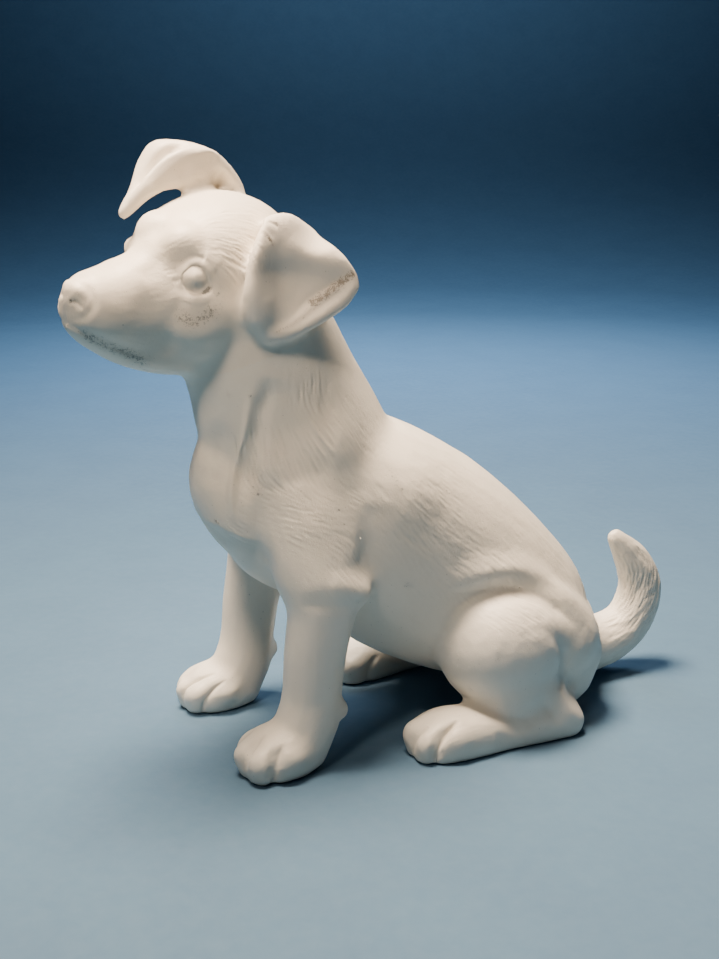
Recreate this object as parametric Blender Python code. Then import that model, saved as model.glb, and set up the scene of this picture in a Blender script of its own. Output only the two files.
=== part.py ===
"""Sitting puppy figurine, a small resin kit: nine castings located on six wires.

The dog faces -Y, +X is its own left and +Z is up. The whole animal is sculpted first, from lofts along
its trunk, neck, head, legs and tail. The sculpt is then parted into castings at the neck, around the four
legs and at the tail, and the ears are plugged into pockets in the skull. Sizes are in millimetres and become
metres in the meshes. The origin is on the ground, below the middle of the figurine's box.
"""

import math

import bmesh
import bpy
import numpy as np
from mathutils import Matrix, Vector

MM = 0.001

# Trunk
CHEST_HEIGHT = 48.5
CHEST_SETBACK = 9.0
HIP_HEIGHT = 14.6
TRUNK_RUN = 57.0
TRUNK_WIDTH = 39.4
TRUNK_DEPTH = 42.0
BRISKET_WIDTH = 23.0
NECK_SETBACK = 15.0
NECK_HEIGHT = 50.0
NECK_LENGTH = 41.1
NECK_LEAN = 22.2
NECK_WIDTH = 26.0
NECK_DEPTH = 33.2

# Forelegs
FORELEG_SPACING = 34.0
ELBOW_HEIGHT = 34.6
UPPER_ARM_WIDTH = 16.0
UPPER_ARM_DEPTH = 21.0
FORELEG_WIDTH = 10.8
FORELEG_DEPTH = 12.2
PAW_WIDTH = 14.0
PAW_HEIGHT = 8.6

# Hind legs, folded under the body
THIGH_SPACING = 35.0
THIGH_WIDTH = 22.8
THIGH_LENGTH = 26.6
THIGH_HEIGHT = 25.2
THIGH_SETBACK = 47.2
HIND_FOOT_SPACING = 46.4
HIND_FOOT_WIDTH = 13.2
HIND_FOOT_HEIGHT = 8.4

# Stance: how far the right paw leads, and how far the right hind foot is tucked in
RIGHT_PAW_LEAD = 2.2
RIGHT_FOOT_TUCK = 3.4

# Tail, curled up behind
TAIL_ROOT = 74.0
TAIL_HEIGHT = 8.0
TAIL_WIDTH = 12.4
TAIL_REACH = 18.8
TAIL_RISE = 23.3

# Head, turned and tilted to the dog's left
HEAD_TURN = 24.0
HEAD_TILT = 15.0
HEAD_LENGTH = 41.0
SKULL_WIDTH = 27.6
SKULL_HEIGHT = 26.8
NOSE_WIDTH = 8.0
EYE_DIAMETER = 6.0
EAR_THICKNESS = 2.4
EAR_RIM = 3.0

# Parting of the castings
GLUE_GAP = 0.3
PARTING_MARGIN = 0.7
NECK_SEAM_SHARE = 0.762
NECK_SEAM_TILT = 21.0
TAIL_SEAM = 82.2
ELBOW_SEAM = 32.3

# Triangles of the finished forms
HEAD_TRIANGLES = 3000
BODY_TRIANGLES = 5500
EAR_TRIANGLES = 760
CUTTER_TRIANGLES = 560

# Locating wires
NECK_WIRE_DIAMETER = 4.0
NECK_WIRE_LENGTH = 18.0
FORELEG_WIRE_DIAMETER = 2.4
FORELEG_WIRE_LENGTH = 12.0
FORELEG_PIN_SETBACK = 9.0
HIND_LEG_WIRE_DIAMETER = 3.0
HIND_LEG_WIRE_LENGTH = 8.4
TAIL_WIRE_DIAMETER = 2.4
TAIL_WIRE_LENGTH = 10.0

# Resin and wire finishes
RESIN_COLOUR = (0.80, 0.76, 0.69)
RESIN_ROUGHNESS = 0.48
WIRE_COLOUR = (0.62, 0.62, 0.64)
WIRE_ROUGHNESS = 0.35

# Shape tables. Widths, depths and runs under 2 are shares of the sizes above. The places are in millimetres
# for a trunk run of 57 and a head length of 41, and they grow and shrink with those two.
# Trunk: along the spine from chest to hip, lift across it, half width, half depth
TRUNK_SECTIONS = (
    (-0.12, 0.00, 0.61, 0.60),
    (0.00, 0.00, 0.84, 0.86),
    (0.20, 0.15, 0.97, 0.97),
    (0.42, 0.085, 1.00, 1.06),
    (0.64, 0.05, 1.02, 0.99),
    (0.84, 0.03, 0.99, 0.84),
    (0.96, 0.01, 0.91, 0.69),
    (1.05, 0.00, 0.66, 0.50),
)
# Neck: along it from the trunk to the skull, bow to the front, half width, half depth
NECK_SECTIONS = (
    (0.00, 0.0, 1.31, 1.08),
    (0.27, 0.2, 1.12, 1.05),
    (0.52, 0.6, 1.00, 0.98),
    (0.76, 0.6, 0.97, 0.92),
    (1.00, 0.4, 0.96, 0.80),
)
# Brisket, the front of the chest: set back, height, half width, half depth
BRISKET_SECTIONS = (
    (-1.8, 60.0, 0.58, 0.58),
    (-2.6, 53.5, 0.87, 0.74),
    (0.6, 46.0, 1.02, 0.74),
    (5.5, 40.0, 1.00, 0.61),
)
# Hollows filled between the neck, the breast and the upper arm: place, radius, rise
CHEST_FILLS = (
    ((9.5, -3.5, 48.0), 9.0, 1.4),
    ((12.5, 2.0, 56.0), 9.0, 2.0),
    ((15.5, 12.0, 61.0), 9.0, 1.7),
    ((14.5, 26.0, 51.0), 10.0, 1.0),
)
# Head: along it from the eye line to the nose or the nape, height of the centre, half width, half height
HEAD_SECTIONS = (
    (-0.57, -0.07, 0.36, 0.45),
    (-0.49, 0.00, 0.72, 0.78),
    (-0.34, 0.00, 0.96, 0.95),
    (-0.20, -0.10, 0.98, 0.95),
    (-0.09, -0.22, 0.88, 0.89),
    (0.00, -0.38, 0.74, 0.79),
    (0.10, -0.50, 0.64, 0.72),
    (0.20, -0.54, 0.57, 0.67),
    (0.30, -0.53, 0.51, 0.60),
    (0.38, -0.46, 0.45, 0.50),
    (0.42, -0.41, 0.40, 0.42),
)
JAW_SECTIONS = (
    (-0.24, -0.90, 0.80, 0.60),
    (-0.05, -1.04, 0.69, 0.49),
    (0.11, -1.03, 0.56, 0.39),
    (0.24, -0.94, 0.44, 0.32),
    (0.33, -0.85, 0.35, 0.25),
)
# Upper arm: from the elbow to the shoulder blade, bow to the front, half width, half depth
UPPER_ARM_SECTIONS = (
    (-0.04, 0.0, 0.82, 0.68),
    (0.20, 1.9, 0.92, 0.84),
    (0.46, 2.8, 0.98, 0.97),
    (0.70, 1.4, 0.90, 0.94),
    (0.92, 0.0, 0.72, 0.74),
)
# Forearm: height as a share of the elbow height, set back, half width, half depth
FOREARM_SECTIONS = (
    (1.04, 9.5, 1.17, 1.18),
    (0.87, 8.8, 1.07, 1.08),
    (0.64, 7.4, 1.00, 1.00),
    (0.40, 6.6, 0.96, 0.95),
    (0.26, 5.7, 1.02, 1.02),
    (0.16, 4.4, 1.06, 0.98),
)
# Front paw: set back, out from the foreleg line, height of the centre, half width, half height
PAW_SECTIONS = (
    (6.0, -0.3, 3.8, 0.74, 1.06),
    (2.8, 0.0, 3.8, 0.94, 1.26),
    (-2.0, 0.4, 3.4, 1.03, 1.21),
    (-5.0, 0.6, 2.4, 0.94, 1.02),
)
# Hind foot: set back, out from the foot line, height of the centre, half width, half height
HIND_FOOT_SECTIONS = (
    (59.0, 0.6, 3.6, 0.70, 1.19),
    (52.0, 0.4, 3.2, 0.73, 1.19),
    (42.0, 0.0, 3.0, 0.85, 1.19),
    (33.0, -0.4, 3.2, 1.03, 1.29),
    (28.0, -1.0, 2.4, 0.94, 1.14),
)
# Calf: out from the middle, set back, height, half width, half depth
CALF_SECTIONS = ((18.0, 50.0, 17.0, 6.0, 7.0), (21.5, 53.2, 10.0, 5.6, 5.2), (23.6, 56.8, 4.8, 4.6, 4.2))
# Rump beside the tail: out from the middle, set back, height, half width, half depth
RUMP_SECTIONS = (
    (11.0, 48.0, 23.0, 12.0, 12.0),
    (12.2, 56.0, 18.5, 12.4, 12.8),
    (12.8, 61.5, 14.8, 11.2, 11.2),
    (12.6, 64.5, 11.5, 8.8, 9.4),
)
# Tail: reach, rise, half width, half depth
TAIL_SECTIONS = (
    (0.00, 0.00, 1.21, 1.21),
    (0.43, -0.03, 1.00, 1.00),
    (0.82, 0.11, 0.84, 0.90),
    (1.00, 0.43, 0.74, 0.87),
    (0.87, 0.77, 0.56, 0.68),
    (0.66, 1.00, 0.31, 0.35),
)
# Hanging ear on the left: rows from the root to the tip, each front, middle and back, in the head's frame
HANGING_EAR = (
    ((-14.5, 7.0, 6.6), (-18.5, 7.0, 7.2), (-22.3, 8.0, 5.8)),
    ((-13.4, 9.8, 8.6), (-18.5, 9.8, 9.4), (-23.0, 11.0, 7.7)),
    ((-9.5, 12.0, 10.4), (-14.9, 12.5, 11.2), (-21.8, 14.4, 7.6)),
    ((-5.8, 14.5, 6.4), (-13.2, 14.8, 7.0), (-23.2, 20.2, 6.2)),
    ((-4.9, 15.8, 1.0), (-13.7, 14.9, 2.2), (-25.0, 22.4, 3.6)),
    ((-5.1, 16.4, -2.6), (-13.0, 15.4, -0.9), (-23.4, 22.7, 0.2)),
    ((-6.2, 16.9, -6.0), (-12.0, 16.3, -4.6), (-19.6, 21.0, -3.2)),
    ((-8.6, 17.3, -8.6), (-11.3, 17.5, -8.4), (-14.2, 19.0, -6.8)),
)
# Its rolled rim: place and share of the rim's thickness
HANGING_EAR_RIM = (
    (-9.6, 17.6, -8.3, 0.80),
    (-13.6, 18.9, -6.9, 0.95),
    (-18.2, 20.7, -4.0, 1.10),
    (-22.2, 22.1, -0.9, 1.10),
    (-24.4, 22.8, 2.2, 0.80),
)
# Raised ear on the right: rows from the root over the fold to the tip, each inner, middle and outer
RAISED_EAR = (
    ((-21.0, -3.6, 7.6), (-16.5, -7.6, 7.2), (-12.0, -10.6, 6.4)),
    ((-19.8, -4.8, 12.2), (-15.6, -8.8, 12.4), (-11.5, -12.0, 11.2)),
    ((-15.8, -6.0, 16.2), (-13.0, -9.6, 16.0), (-10.4, -13.2, 15.0)),
    ((-12.0, -6.8, 17.4), (-10.4, -10.5, 17.9), (-8.8, -14.2, 17.0)),
    ((-6.4, -7.8, 15.5), (-6.2, -12.0, 16.9), (-6.2, -16.0, 16.8)),
    ((-1.6, -8.7, 12.0), (-2.7, -11.8, 13.1), (-3.9, -15.8, 13.0)),
    ((1.6, -9.4, 8.3), (0.4, -11.0, 9.0), (-1.2, -13.2, 9.6)),
    ((3.0, -9.9, 6.0), (2.7, -10.7, 6.1), (2.3, -11.4, 6.4)),
)
# Its rim: place, half width, half depth
RAISED_EAR_RIM = (
    (-13.0, -7.6, 13.6, 1.5, 3.2),
    (-6.8, -8.2, 13.6, 1.6, 2.7),
    (-1.6, -8.8, 11.3, 1.5, 1.8),
    (1.6, -9.5, 8.2, 1.4, 1.4),
    (3.1, -10.0, 6.0, 1.2, 1.2),
)

# Creases: half width, depth, then points on the dog's left side
THIGH_LINE = (
    (18.7, 33.4, 25.8),
    (19.6, 36.1, 29.8),
    (20.0, 40.3, 31.0),
    (20.6, 47.7, 30.4),
    (21.7, 54.6, 27.5),
    (22.8, 58.9, 24.4),
    (23.4, 61.5, 21.8),
)
FLANK_FOLD = (
    (19.5, 34.8, 31.4),
    (19.6, 41.2, 34.5),
    (18.4, 49.7, 34.0),
    (19.0, 57.5, 30.8),
    (21.8, 63.0, 25.2),
)
BODY_CREASES = (
    (1.3, -0.7, ((20.5, 15.5, 32.6), (22.3, 12.6, 32.7), (22.9, 7.8, 33.9), (20.0, 3.1, 34.2))),
    (1.7, -1.3, THIGH_LINE),
    (2.4, 0.8, FLANK_FOLD),
    (1.3, -0.9, ((26.7, 51.2, 24.1), (24.8, 57.0, 17.7), (25.4, 57.6, 13.6), (27.2, 56.0, 10.0))),
    (1.2, -0.8, ((21.7, 37.8, 8.8), (26.8, 41.6, 7.0), (28.0, 44.8, 5.2), (28.2, 47.2, 3.8))),
    (0.9, -0.9, ((27.5, 31.0, 7.2), (28.0, 27.8, 5.1), (28.4, 27.3, 2.9), (28.6, 28.2, 1.4))),
    (0.9, -0.9, ((23.2, 29.4, 7.8), (23.5, 25.6, 5.4), (23.9, 24.0, 3.0), (24.2, 24.3, 1.4))),
    (0.9, -0.8, ((19.0, 30.2, 7.2), (19.0, 27.0, 5.2), (19.0, 26.2, 3.0), (19.0, 26.5, 1.4))),
    (0.9, -0.9, ((22.8, -1.7, 7.2), (23.7, -3.6, 5.6), (24.2, -3.9, 3.1), (23.9, -3.5, 1.2))),
    (0.9, -0.9, ((18.4, -4.0, 7.8), (18.9, -7.2, 5.4), (19.0, -8.2, 3.4), (19.0, -8.2, 1.4))),
    (0.9, -0.8, ((13.8, -2.6, 7.2), (13.6, -5.0, 5.4), (13.5, -5.6, 3.2), (13.5, -5.4, 1.4))),
)
# Face creases: half width, depth, then points on the dog's left side, in the head's frame
MOUTH = ((20.6, 0.0, -9.0), (19.2, 2.2, -9.1), (16.7, 4.9, -10.2), (10.8, 6.3, -13.0), (5.3, 7.8, -14.0))
FACE_CREASES = (
    (0.8, -0.5, MOUTH),
    (0.6, -0.4, ((20.6, 1.5, -3.4), (20.2, 2.4, -3.9), (19.4, 3.5, -3.9))),
)
EYE = (1.8, 9.9, 0.8)
EYE_WAY = (0.55, 0.82, 0.15)
UPPER_LID = ((4.2, 8.1, -0.4), (3.6, 8.4, 2.2), (2.2, 9.1, 3.8), (0.2, 10.4, 3.1), (-1.0, 11.4, 0.6))
LOWER_LID = ((4.0, 8.4, -1.0), (2.6, 9.6, -2.4), (0.9, 10.6, -2.7), (-0.8, 11.4, -1.4))


# Mesh helpers


def clear_scene():
    for ob in list(bpy.data.objects):
        bpy.data.objects.remove(ob)


def add_object(name, mesh):
    ob = bpy.data.objects.new(name, mesh)
    bpy.context.collection.objects.link(ob)
    return ob


def apply_modifiers(ob):
    """Bakes the modifiers of an object into its mesh."""
    evaluated = ob.evaluated_get(bpy.context.evaluated_depsgraph_get())
    mesh = bpy.data.meshes.new_from_object(evaluated)
    ob.modifiers.clear()
    ob.data = mesh
    return ob


def remesh(ob, voxel):
    modifier = ob.modifiers.new("remesh", "REMESH")
    modifier.mode = "VOXEL"
    modifier.voxel_size = voxel * MM
    return apply_modifiers(ob)


def relax(ob, times):
    modifier = ob.modifiers.new("relax", "SMOOTH")
    modifier.factor = 0.5
    modifier.iterations = times
    return apply_modifiers(ob)


def swell(ob, by):
    modifier = ob.modifiers.new("swell", "DISPLACE")
    modifier.mid_level = 0.0
    modifier.strength = by * MM
    return apply_modifiers(ob)


def thin_to(ob, triangles):
    """Collapses edges until about so many triangles are left."""
    count = sum(len(face.vertices) - 2 for face in ob.data.polygons)
    modifier = ob.modifiers.new("thin", "DECIMATE")
    modifier.ratio = min(1.0, triangles / count)
    modifier.use_collapse_triangulate = True
    return apply_modifiers(ob)


def boolean(ob, cutter, operation):
    modifier = ob.modifiers.new("cut", "BOOLEAN")
    modifier.solver = "EXACT"
    modifier.operation = operation
    modifier.object = cutter
    return apply_modifiers(ob)


def copy_of(ob, name):
    return add_object(name, ob.data.copy())


def joined(name, obs):
    bm = bmesh.new()
    for ob in obs:
        bm.from_mesh(ob.data)
        bpy.data.objects.remove(ob)
    mesh = bpy.data.meshes.new(name)
    bm.to_mesh(mesh)
    bm.free()
    return add_object(name, mesh)


def mirrored(ob, name):
    mesh = ob.data.copy()
    mesh.transform(Matrix.Scale(-1.0, 4, (1.0, 0.0, 0.0)))
    mesh.flip_normals()
    return add_object(name, mesh)


def points_and_normals(ob):
    count = len(ob.data.vertices)
    points = np.empty(count * 3)
    normals = np.empty(count * 3)
    ob.data.vertices.foreach_get("co", points)
    ob.data.vertices.foreach_get("normal", normals)
    return points.reshape(-1, 3) / MM, normals.reshape(-1, 3)


def put_points(ob, points):
    ob.data.vertices.foreach_set("co", (points * MM).ravel())
    ob.data.update()


# Forms


def curve_through(rows, steps=6):
    """Smooth curve through rows of numbers."""
    rows = [np.array(row, float) for row in rows]
    rows = [2 * rows[0] - rows[1]] + rows + [2 * rows[-1] - rows[-2]]
    out = []
    for i in range(1, len(rows) - 2):
        a, b, c, d = rows[i - 1:i + 3]
        for k in range(steps):
            t = k / steps
            bend = (2 * a - 5 * b + 4 * c - d) * t * t + (3 * b - a - 3 * c + d) * t**3
            out.append(0.5 * (2 * b + (c - a) * t + bend))
    out.append(rows[-2])
    return np.array(out)


def domed_end(centre, way, across, up, half_width, half_depth, share):
    """Shrinking rings that close one end of a loft."""
    rings = []
    reach = share * min(half_width, half_depth)
    for k in range(1, 6):
        angle = math.radians(90.0 * k / 5)
        shrink = max(math.cos(angle), 0.02)
        at = centre + way * math.sin(angle) * reach
        rings.append((at, across, up, half_width * shrink, half_depth * shrink))
    return rings


def loft(name, sections, side=(1, 0, 0), domes=(0.8, 0.8), power=2.0, around=28):
    """Tube along a curve: sections of x, y, z, half width along the side direction and half depth."""
    rows = curve_through(sections)
    centres = rows[:, :3]
    ways = np.gradient(centres, axis=0)
    ways /= np.linalg.norm(ways, axis=1)[:, None]
    across = np.array(side, float) - (ways @ np.array(side, float))[:, None] * ways
    across /= np.linalg.norm(across, axis=1)[:, None]
    ups = np.cross(across, ways)
    rings = [(centres[i], across[i], ups[i], rows[i, 3], rows[i, 4]) for i in range(len(rows))]
    start = domed_end(centres[0], -ways[0], across[0], ups[0], rows[0, 3], rows[0, 4], domes[0])
    end = domed_end(centres[-1], ways[-1], across[-1], ups[-1], rows[-1, 3], rows[-1, 4], domes[1])
    rings = start[::-1] + rings + end
    angles = np.linspace(0, 2 * math.pi, around, endpoint=False)
    flat = np.sign(np.cos(angles)) * np.abs(np.cos(angles)) ** (2 / power)
    tall = np.sign(np.sin(angles)) * np.abs(np.sin(angles)) ** (2 / power)
    points = []
    for at, wide, deep, half_width, half_depth in rings:
        points.append(at + np.outer(flat * half_width, wide) + np.outer(tall * half_depth, deep))
    return skinned(name, np.concatenate(points) * MM, len(rings), around)


def skinned(name, points, rings, around):
    """Closed mesh over rings of points."""
    bm = bmesh.new()
    verts = [bm.verts.new(point) for point in points]
    for i in range(rings - 1):
        for j in range(around):
            k = (j + 1) % around
            low = i * around
            bm.faces.new((verts[low + j], verts[low + k], verts[low + around + k], verts[low + around + j]))
    bm.faces.new(verts[:around])
    bm.faces.new(verts[-around:])
    bmesh.ops.recalc_face_normals(bm, faces=bm.faces)
    mesh = bpy.data.meshes.new(name)
    bm.to_mesh(mesh)
    bm.free()
    return add_object(name, mesh)


def ball(name, at, radii, turn=None):
    bm = bmesh.new()
    bmesh.ops.create_icosphere(bm, subdivisions=4, radius=1.0)
    place = Matrix.Translation(Vector(at) * MM) @ (turn or Matrix.Identity(4))
    bmesh.ops.transform(bm, matrix=place @ Matrix.Diagonal([r * MM for r in radii] + [1]), verts=bm.verts)
    mesh = bpy.data.meshes.new(name)
    bm.to_mesh(mesh)
    bm.free()
    return add_object(name, mesh)


def push(ob, at, radius, by):
    """Moves the skin near a point along its normals: plus swells, minus hollows."""
    points, normals = points_and_normals(ob)
    share = np.linalg.norm(points - np.array(at), axis=1) / radius
    weight = np.where(share < 1, (1 - share * share) ** 2, 0.0)
    put_points(ob, points + (weight * by)[:, None] * normals)


def crease(ob, line, half_width, by):
    """Draws a groove or a ridge into the skin along a line of points, fading at both ends."""
    points, normals = points_and_normals(ob)
    path = curve_through(line, 12)
    reach = 3 * half_width
    near = np.where(((points > path.min(0) - reach) & (points < path.max(0) + reach)).all(1))[0]
    if not len(near):
        return
    gaps = ((points[near, None, :] - path[None]) ** 2).sum(2)
    nearest = gaps.argmin(1)
    along = nearest / (len(path) - 1)
    fade = np.clip(np.minimum(along, 1 - along) * 5, 0, 1) * 0.75 + 0.25
    weight = np.exp(-gaps[np.arange(len(near)), nearest] / half_width ** 2) * fade
    points[near] += (weight * by)[:, None] * normals[near]
    put_points(ob, points)


# Places on the body and in the head's frame


def body_scale():
    return TRUNK_RUN / 57.0


def head_scale():
    return HEAD_LENGTH / 41.0


def on_left(x, y, z):
    """Place on the left half of the body, from the tables."""
    return np.array([x, y, z]) * body_scale()


def on_right(x, y, z):
    """The same place on the right half: its paw leads and its hind foot is tucked in."""
    if y < 20.0:
        y -= RIGHT_PAW_LEAD * min(1.0, max(0.0, 1.0 - 0.5 * z / 34.6))
    elif z < 12.0:
        x -= RIGHT_FOOT_TUCK * min(1.0, max(0.0, (59.0 - y) / 31.0))
    return np.array([-x, y, z]) * body_scale()


def neck_way():
    lean = math.radians(NECK_LEAN)
    return np.array([0.0, -math.sin(lean), math.cos(lean)])


def neck_root():
    return np.array([0.0, NECK_SETBACK, NECK_HEIGHT])


def head_turn():
    return Matrix.Rotation(math.radians(HEAD_TURN), 4, "Z") @ Matrix.Rotation(math.radians(HEAD_TILT), 4, "Y")


def eye_line():
    """Middle of the head at the eyes: above and in front of the top of the neck."""
    return neck_root() + NECK_LENGTH * neck_way() + np.array([4.5, -14.5, 6.3]) * head_scale()


def head_way(forward, left, up):
    return np.array(head_turn().to_3x3() @ Vector((left, -forward, up)))


def on_head(forward, left, up):
    return eye_line() + head_way(forward, left, up) * head_scale()


def head_loft(name, sections, power):
    """Loft along the head's middle from shares of its length, width and height."""
    half_width, half_height = SKULL_WIDTH / 2, SKULL_HEIGHT / 2
    rows = []
    for forward, up, wide, high in sections:
        at = eye_line() + head_way(forward * HEAD_LENGTH, 0.0, up * half_height)
        rows.append((*at, wide * half_width, high * half_height))
    return loft(name, rows, side=head_way(0, 1, 0), domes=(0.8, 0.5), power=power)


def head_ball(name, at, radii):
    across, along, high = (radii[i] * head_scale() for i in (1, 0, 2))
    return ball(name, on_head(*at), (across, along, high), head_turn())


# Sculpt


def trunk():
    front = np.array([0.0, CHEST_SETBACK, CHEST_HEIGHT])
    back = np.array([0.0, CHEST_SETBACK + TRUNK_RUN, HIP_HEIGHT])
    spine = back - front
    lift_way = np.array([0.0, -spine[2], spine[1]]) / np.linalg.norm(spine)
    rows = []
    for along, lift, wide, deep in TRUNK_SECTIONS:
        at = front + along * spine + lift * TRUNK_DEPTH / 2 * lift_way
        rows.append((*at, wide * TRUNK_WIDTH / 2, deep * TRUNK_DEPTH / 2))
    return loft("trunk", rows, power=2.1)


def neck():
    rows = []
    for along, bow, wide, deep in NECK_SECTIONS:
        at = neck_root() + along * NECK_LENGTH * neck_way() + np.array([along * 1.5, -bow, 0.0])
        rows.append((*at, wide * NECK_WIDTH / 2, deep * NECK_DEPTH / 2))
    return loft("neck", rows)


def brisket():
    rows = []
    for back, height, wide, deep in BRISKET_SECTIONS:
        rows.append((*on_left(0.0, back, height), wide * BRISKET_WIDTH / 2, deep * BRISKET_WIDTH / 2))
    return loft("brisket", rows)


def upper_arm():
    elbow = np.array([FORELEG_SPACING / 2 - 0.4, 9.4, ELBOW_HEIGHT - 1.1])
    blade = on_left(7.2, 15.5, 59.5)
    rows = []
    for along, bow, wide, deep in UPPER_ARM_SECTIONS:
        at = elbow + along * (blade - elbow) - np.array([0.0, bow, 0.0])
        rows.append((*at, wide * UPPER_ARM_WIDTH / 2, deep * UPPER_ARM_DEPTH / 2))
    return loft("upper_arm", rows)


def foreleg_forms(place=None):
    """Forearm, elbow, wrist pad and paw of one foreleg; the place is that of the left one unless given."""
    place = place or on_left
    middle = FORELEG_SPACING / 2 / body_scale()
    elbow = ELBOW_HEIGHT / body_scale()
    grow = body_scale()
    forearm = []
    for height, back, wide, deep in FOREARM_SECTIONS:
        half_sizes = (wide * FORELEG_WIDTH / 2, deep * FORELEG_DEPTH / 2)
        forearm.append((*place(middle, back, height * elbow), *half_sizes))
    paw = []
    for back, out, height, wide, high in PAW_SECTIONS:
        paw.append((*place(middle + out, back, height), wide * PAW_WIDTH / 2, high * PAW_HEIGHT / 2))
    return [
        loft("forearm", forearm),
        loft("paw", paw, power=2.4),
        ball("elbow", place(middle + 0.6, 12.8, elbow - 0.6), (5.4 * grow, 5.6 * grow, 4.0 * grow)),
        ball("elbow_point", place(middle + 1.8, 15.2, elbow - 0.4), (3.6 * grow, 3.2 * grow, 3.4 * grow)),
        ball("wrist_pad", place(middle + 0.6, 11.8, 10.4), (2.1 * grow, 2.6 * grow, 2.5 * grow)),
    ]


def hind_leg_forms(place=None):
    """Thigh, calf, heel and foot of one hind leg."""
    place = place or on_left
    grow = body_scale()
    side = np.sign(place(1.0, 0.0, 0.0)[0])
    foot = []
    for back, out, height, wide, high in HIND_FOOT_SECTIONS:
        half_sizes = (wide * HIND_FOOT_WIDTH / 2, high * HIND_FOOT_HEIGHT / 2)
        foot.append((*place(HIND_FOOT_SPACING / 2 / grow + out, back, height), *half_sizes))
    calf = []
    for out, back, height, wide, deep in CALF_SECTIONS:
        calf.append((*place(out, back, height), wide * grow, deep * grow))
    thigh_radii = (THIGH_WIDTH / 2, THIGH_LENGTH / 2, THIGH_HEIGHT / 2)
    return [
        ball("thigh", (side * THIGH_SPACING / 2, THIGH_SETBACK, thigh_centre_height()), thigh_radii),
        ball("shin", place(21.0, 48.0, 10.6), (7.2 * grow, 8.0 * grow, 6.8 * grow)),
        ball("heel", place(25.2, 57.4, 4.6), (3.2 * grow, 3.3 * grow, 3.6 * grow)),
        loft("calf", calf),
        loft("foot", foot, power=2.4),
    ]


def thigh_centre_height():
    return THIGH_HEIGHT / 2 + 5.4 * body_scale()


def fill_chest(dog):
    for at, radius, by in CHEST_FILLS:
        for place in (on_left, on_right):
            push(dog, place(*at), radius * body_scale(), by * body_scale())


def rump():
    rows = []
    for out, back, height, wide, deep in RUMP_SECTIONS:
        rows.append((*on_left(out, back, height), wide * body_scale(), deep * body_scale()))
    return loft("rump", rows)


def tail():
    rows = []
    for reach, rise, wide, deep in TAIL_SECTIONS:
        at = (0.0, TAIL_ROOT + reach * TAIL_REACH, TAIL_HEIGHT + rise * TAIL_RISE)
        rows.append((*at, wide * TAIL_WIDTH / 2, deep * TAIL_WIDTH / 2))
    return loft("tail", rows, domes=(0.8, 0.9))


def skull_forms():
    forms = [head_loft("skull", HEAD_SECTIONS, 2.15), head_loft("jaw", JAW_SECTIONS, 2.0)]
    for side in (1, -1):
        forms.append(head_ball("cheek", (-5.0, 7.0 * side, -7.0), (10.0, 7.0, 9.0)))
        forms.append(head_ball("brow", (-2.2, 5.0 * side, 4.6), (4.2, 3.8, 3.6)))
    return forms


def sculpt():
    """The whole animal without its ears."""
    grow = body_scale()
    buttock = ball("buttock", on_left(13.0, 62.0, 9.4), (8.8 * grow, 9.2 * grow, 8.6 * grow))
    shared = [upper_arm(), rump(), buttock]
    shared += [mirrored(form, form.name + "_right") for form in shared]
    legs = foreleg_forms() + hind_leg_forms() + foreleg_forms(on_right) + hind_leg_forms(on_right)
    dog = joined("dog", shared + legs + [trunk(), neck(), brisket(), tail()] + skull_forms())
    remesh(dog, 0.7)
    relax(dog, 14)
    fill_chest(dog)
    relax(dog, 4)
    hollow_sockets(dog)
    details = [head_ball("nose", (17.8, 0.0, -5.2), (2.9, NOSE_WIDTH / 2 / head_scale(), 3.9))]
    for side in (1, -1):
        details.append(eyeball(side))
    dog = joined("dog", [dog] + details)
    remesh(dog, 0.5)
    relax(dog, 2)
    draw_creases(dog)
    return dog


def hollow_sockets(dog):
    for side in (1, -1):
        push(dog, on_head(4.6, 7.6 * side, 1.0), 6.0 * head_scale(), -0.7)
        push(dog, on_head(EYE[0], EYE[1] * side, EYE[2]), 4.4 * head_scale(), -1.1)


def eyeball(side):
    """Ball whose front stands at the eye's place."""
    radius = EYE_DIAMETER / 2 / head_scale()
    at = [EYE[i] - radius * EYE_WAY[i] for i in range(3)]
    return head_ball("eye", (at[0], at[1] * side, at[2]), (radius, radius, radius * 0.92))


def draw_creases(dog):
    for side, place in ((1, on_left), (-1, on_right)):
        for half_width, by, line in BODY_CREASES:
            crease(dog, [place(*point) for point in line], half_width, by)
        for half_width, by, line in FACE_CREASES:
            crease(dog, [on_head(f, s * side, u) for f, s, u in line], half_width, by)
        crease(dog, [on_head(f, s * side, u) for f, s, u in UPPER_LID], 0.8, 0.55)
        crease(dog, [on_head(f, s * side, u) for f, s, u in LOWER_LID], 0.7, 0.4)


def sheet(name, table, thickness):
    """Bent sheet through rows of points in the head's frame."""
    grid = np.array([[on_head(*point) for point in row] for row in table])
    columns = np.array([curve_through(grid[:, j], 5) for j in range(grid.shape[1])])
    rows = np.array([curve_through(columns[:, i], 5) for i in range(columns.shape[1])])
    bm = bmesh.new()
    verts = [[bm.verts.new(point * MM) for point in row] for row in rows]
    for i in range(len(verts) - 1):
        for j in range(len(verts[0]) - 1):
            bm.faces.new((verts[i][j], verts[i][j + 1], verts[i + 1][j + 1], verts[i + 1][j]))
    mesh = bpy.data.meshes.new(name)
    bm.to_mesh(mesh)
    bm.free()
    ob = add_object(name, mesh)
    modifier = ob.modifiers.new("skin", "SOLIDIFY")
    modifier.thickness = thickness * MM
    modifier.offset = 0.0
    return apply_modifiers(ob)


def ear(name, flap, rim_rows, side):
    """Ear flap with its rolled rim, faired into one form."""
    rim_path = [(*on_head(*row[:3]), row[3] * head_scale(), row[4] * head_scale()) for row in rim_rows]
    rim = loft(name + "_rim", rim_path, side=side, around=16)
    ob = joined(name, [flap, rim])
    remesh(ob, 0.5)
    return relax(ob, 7)


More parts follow.
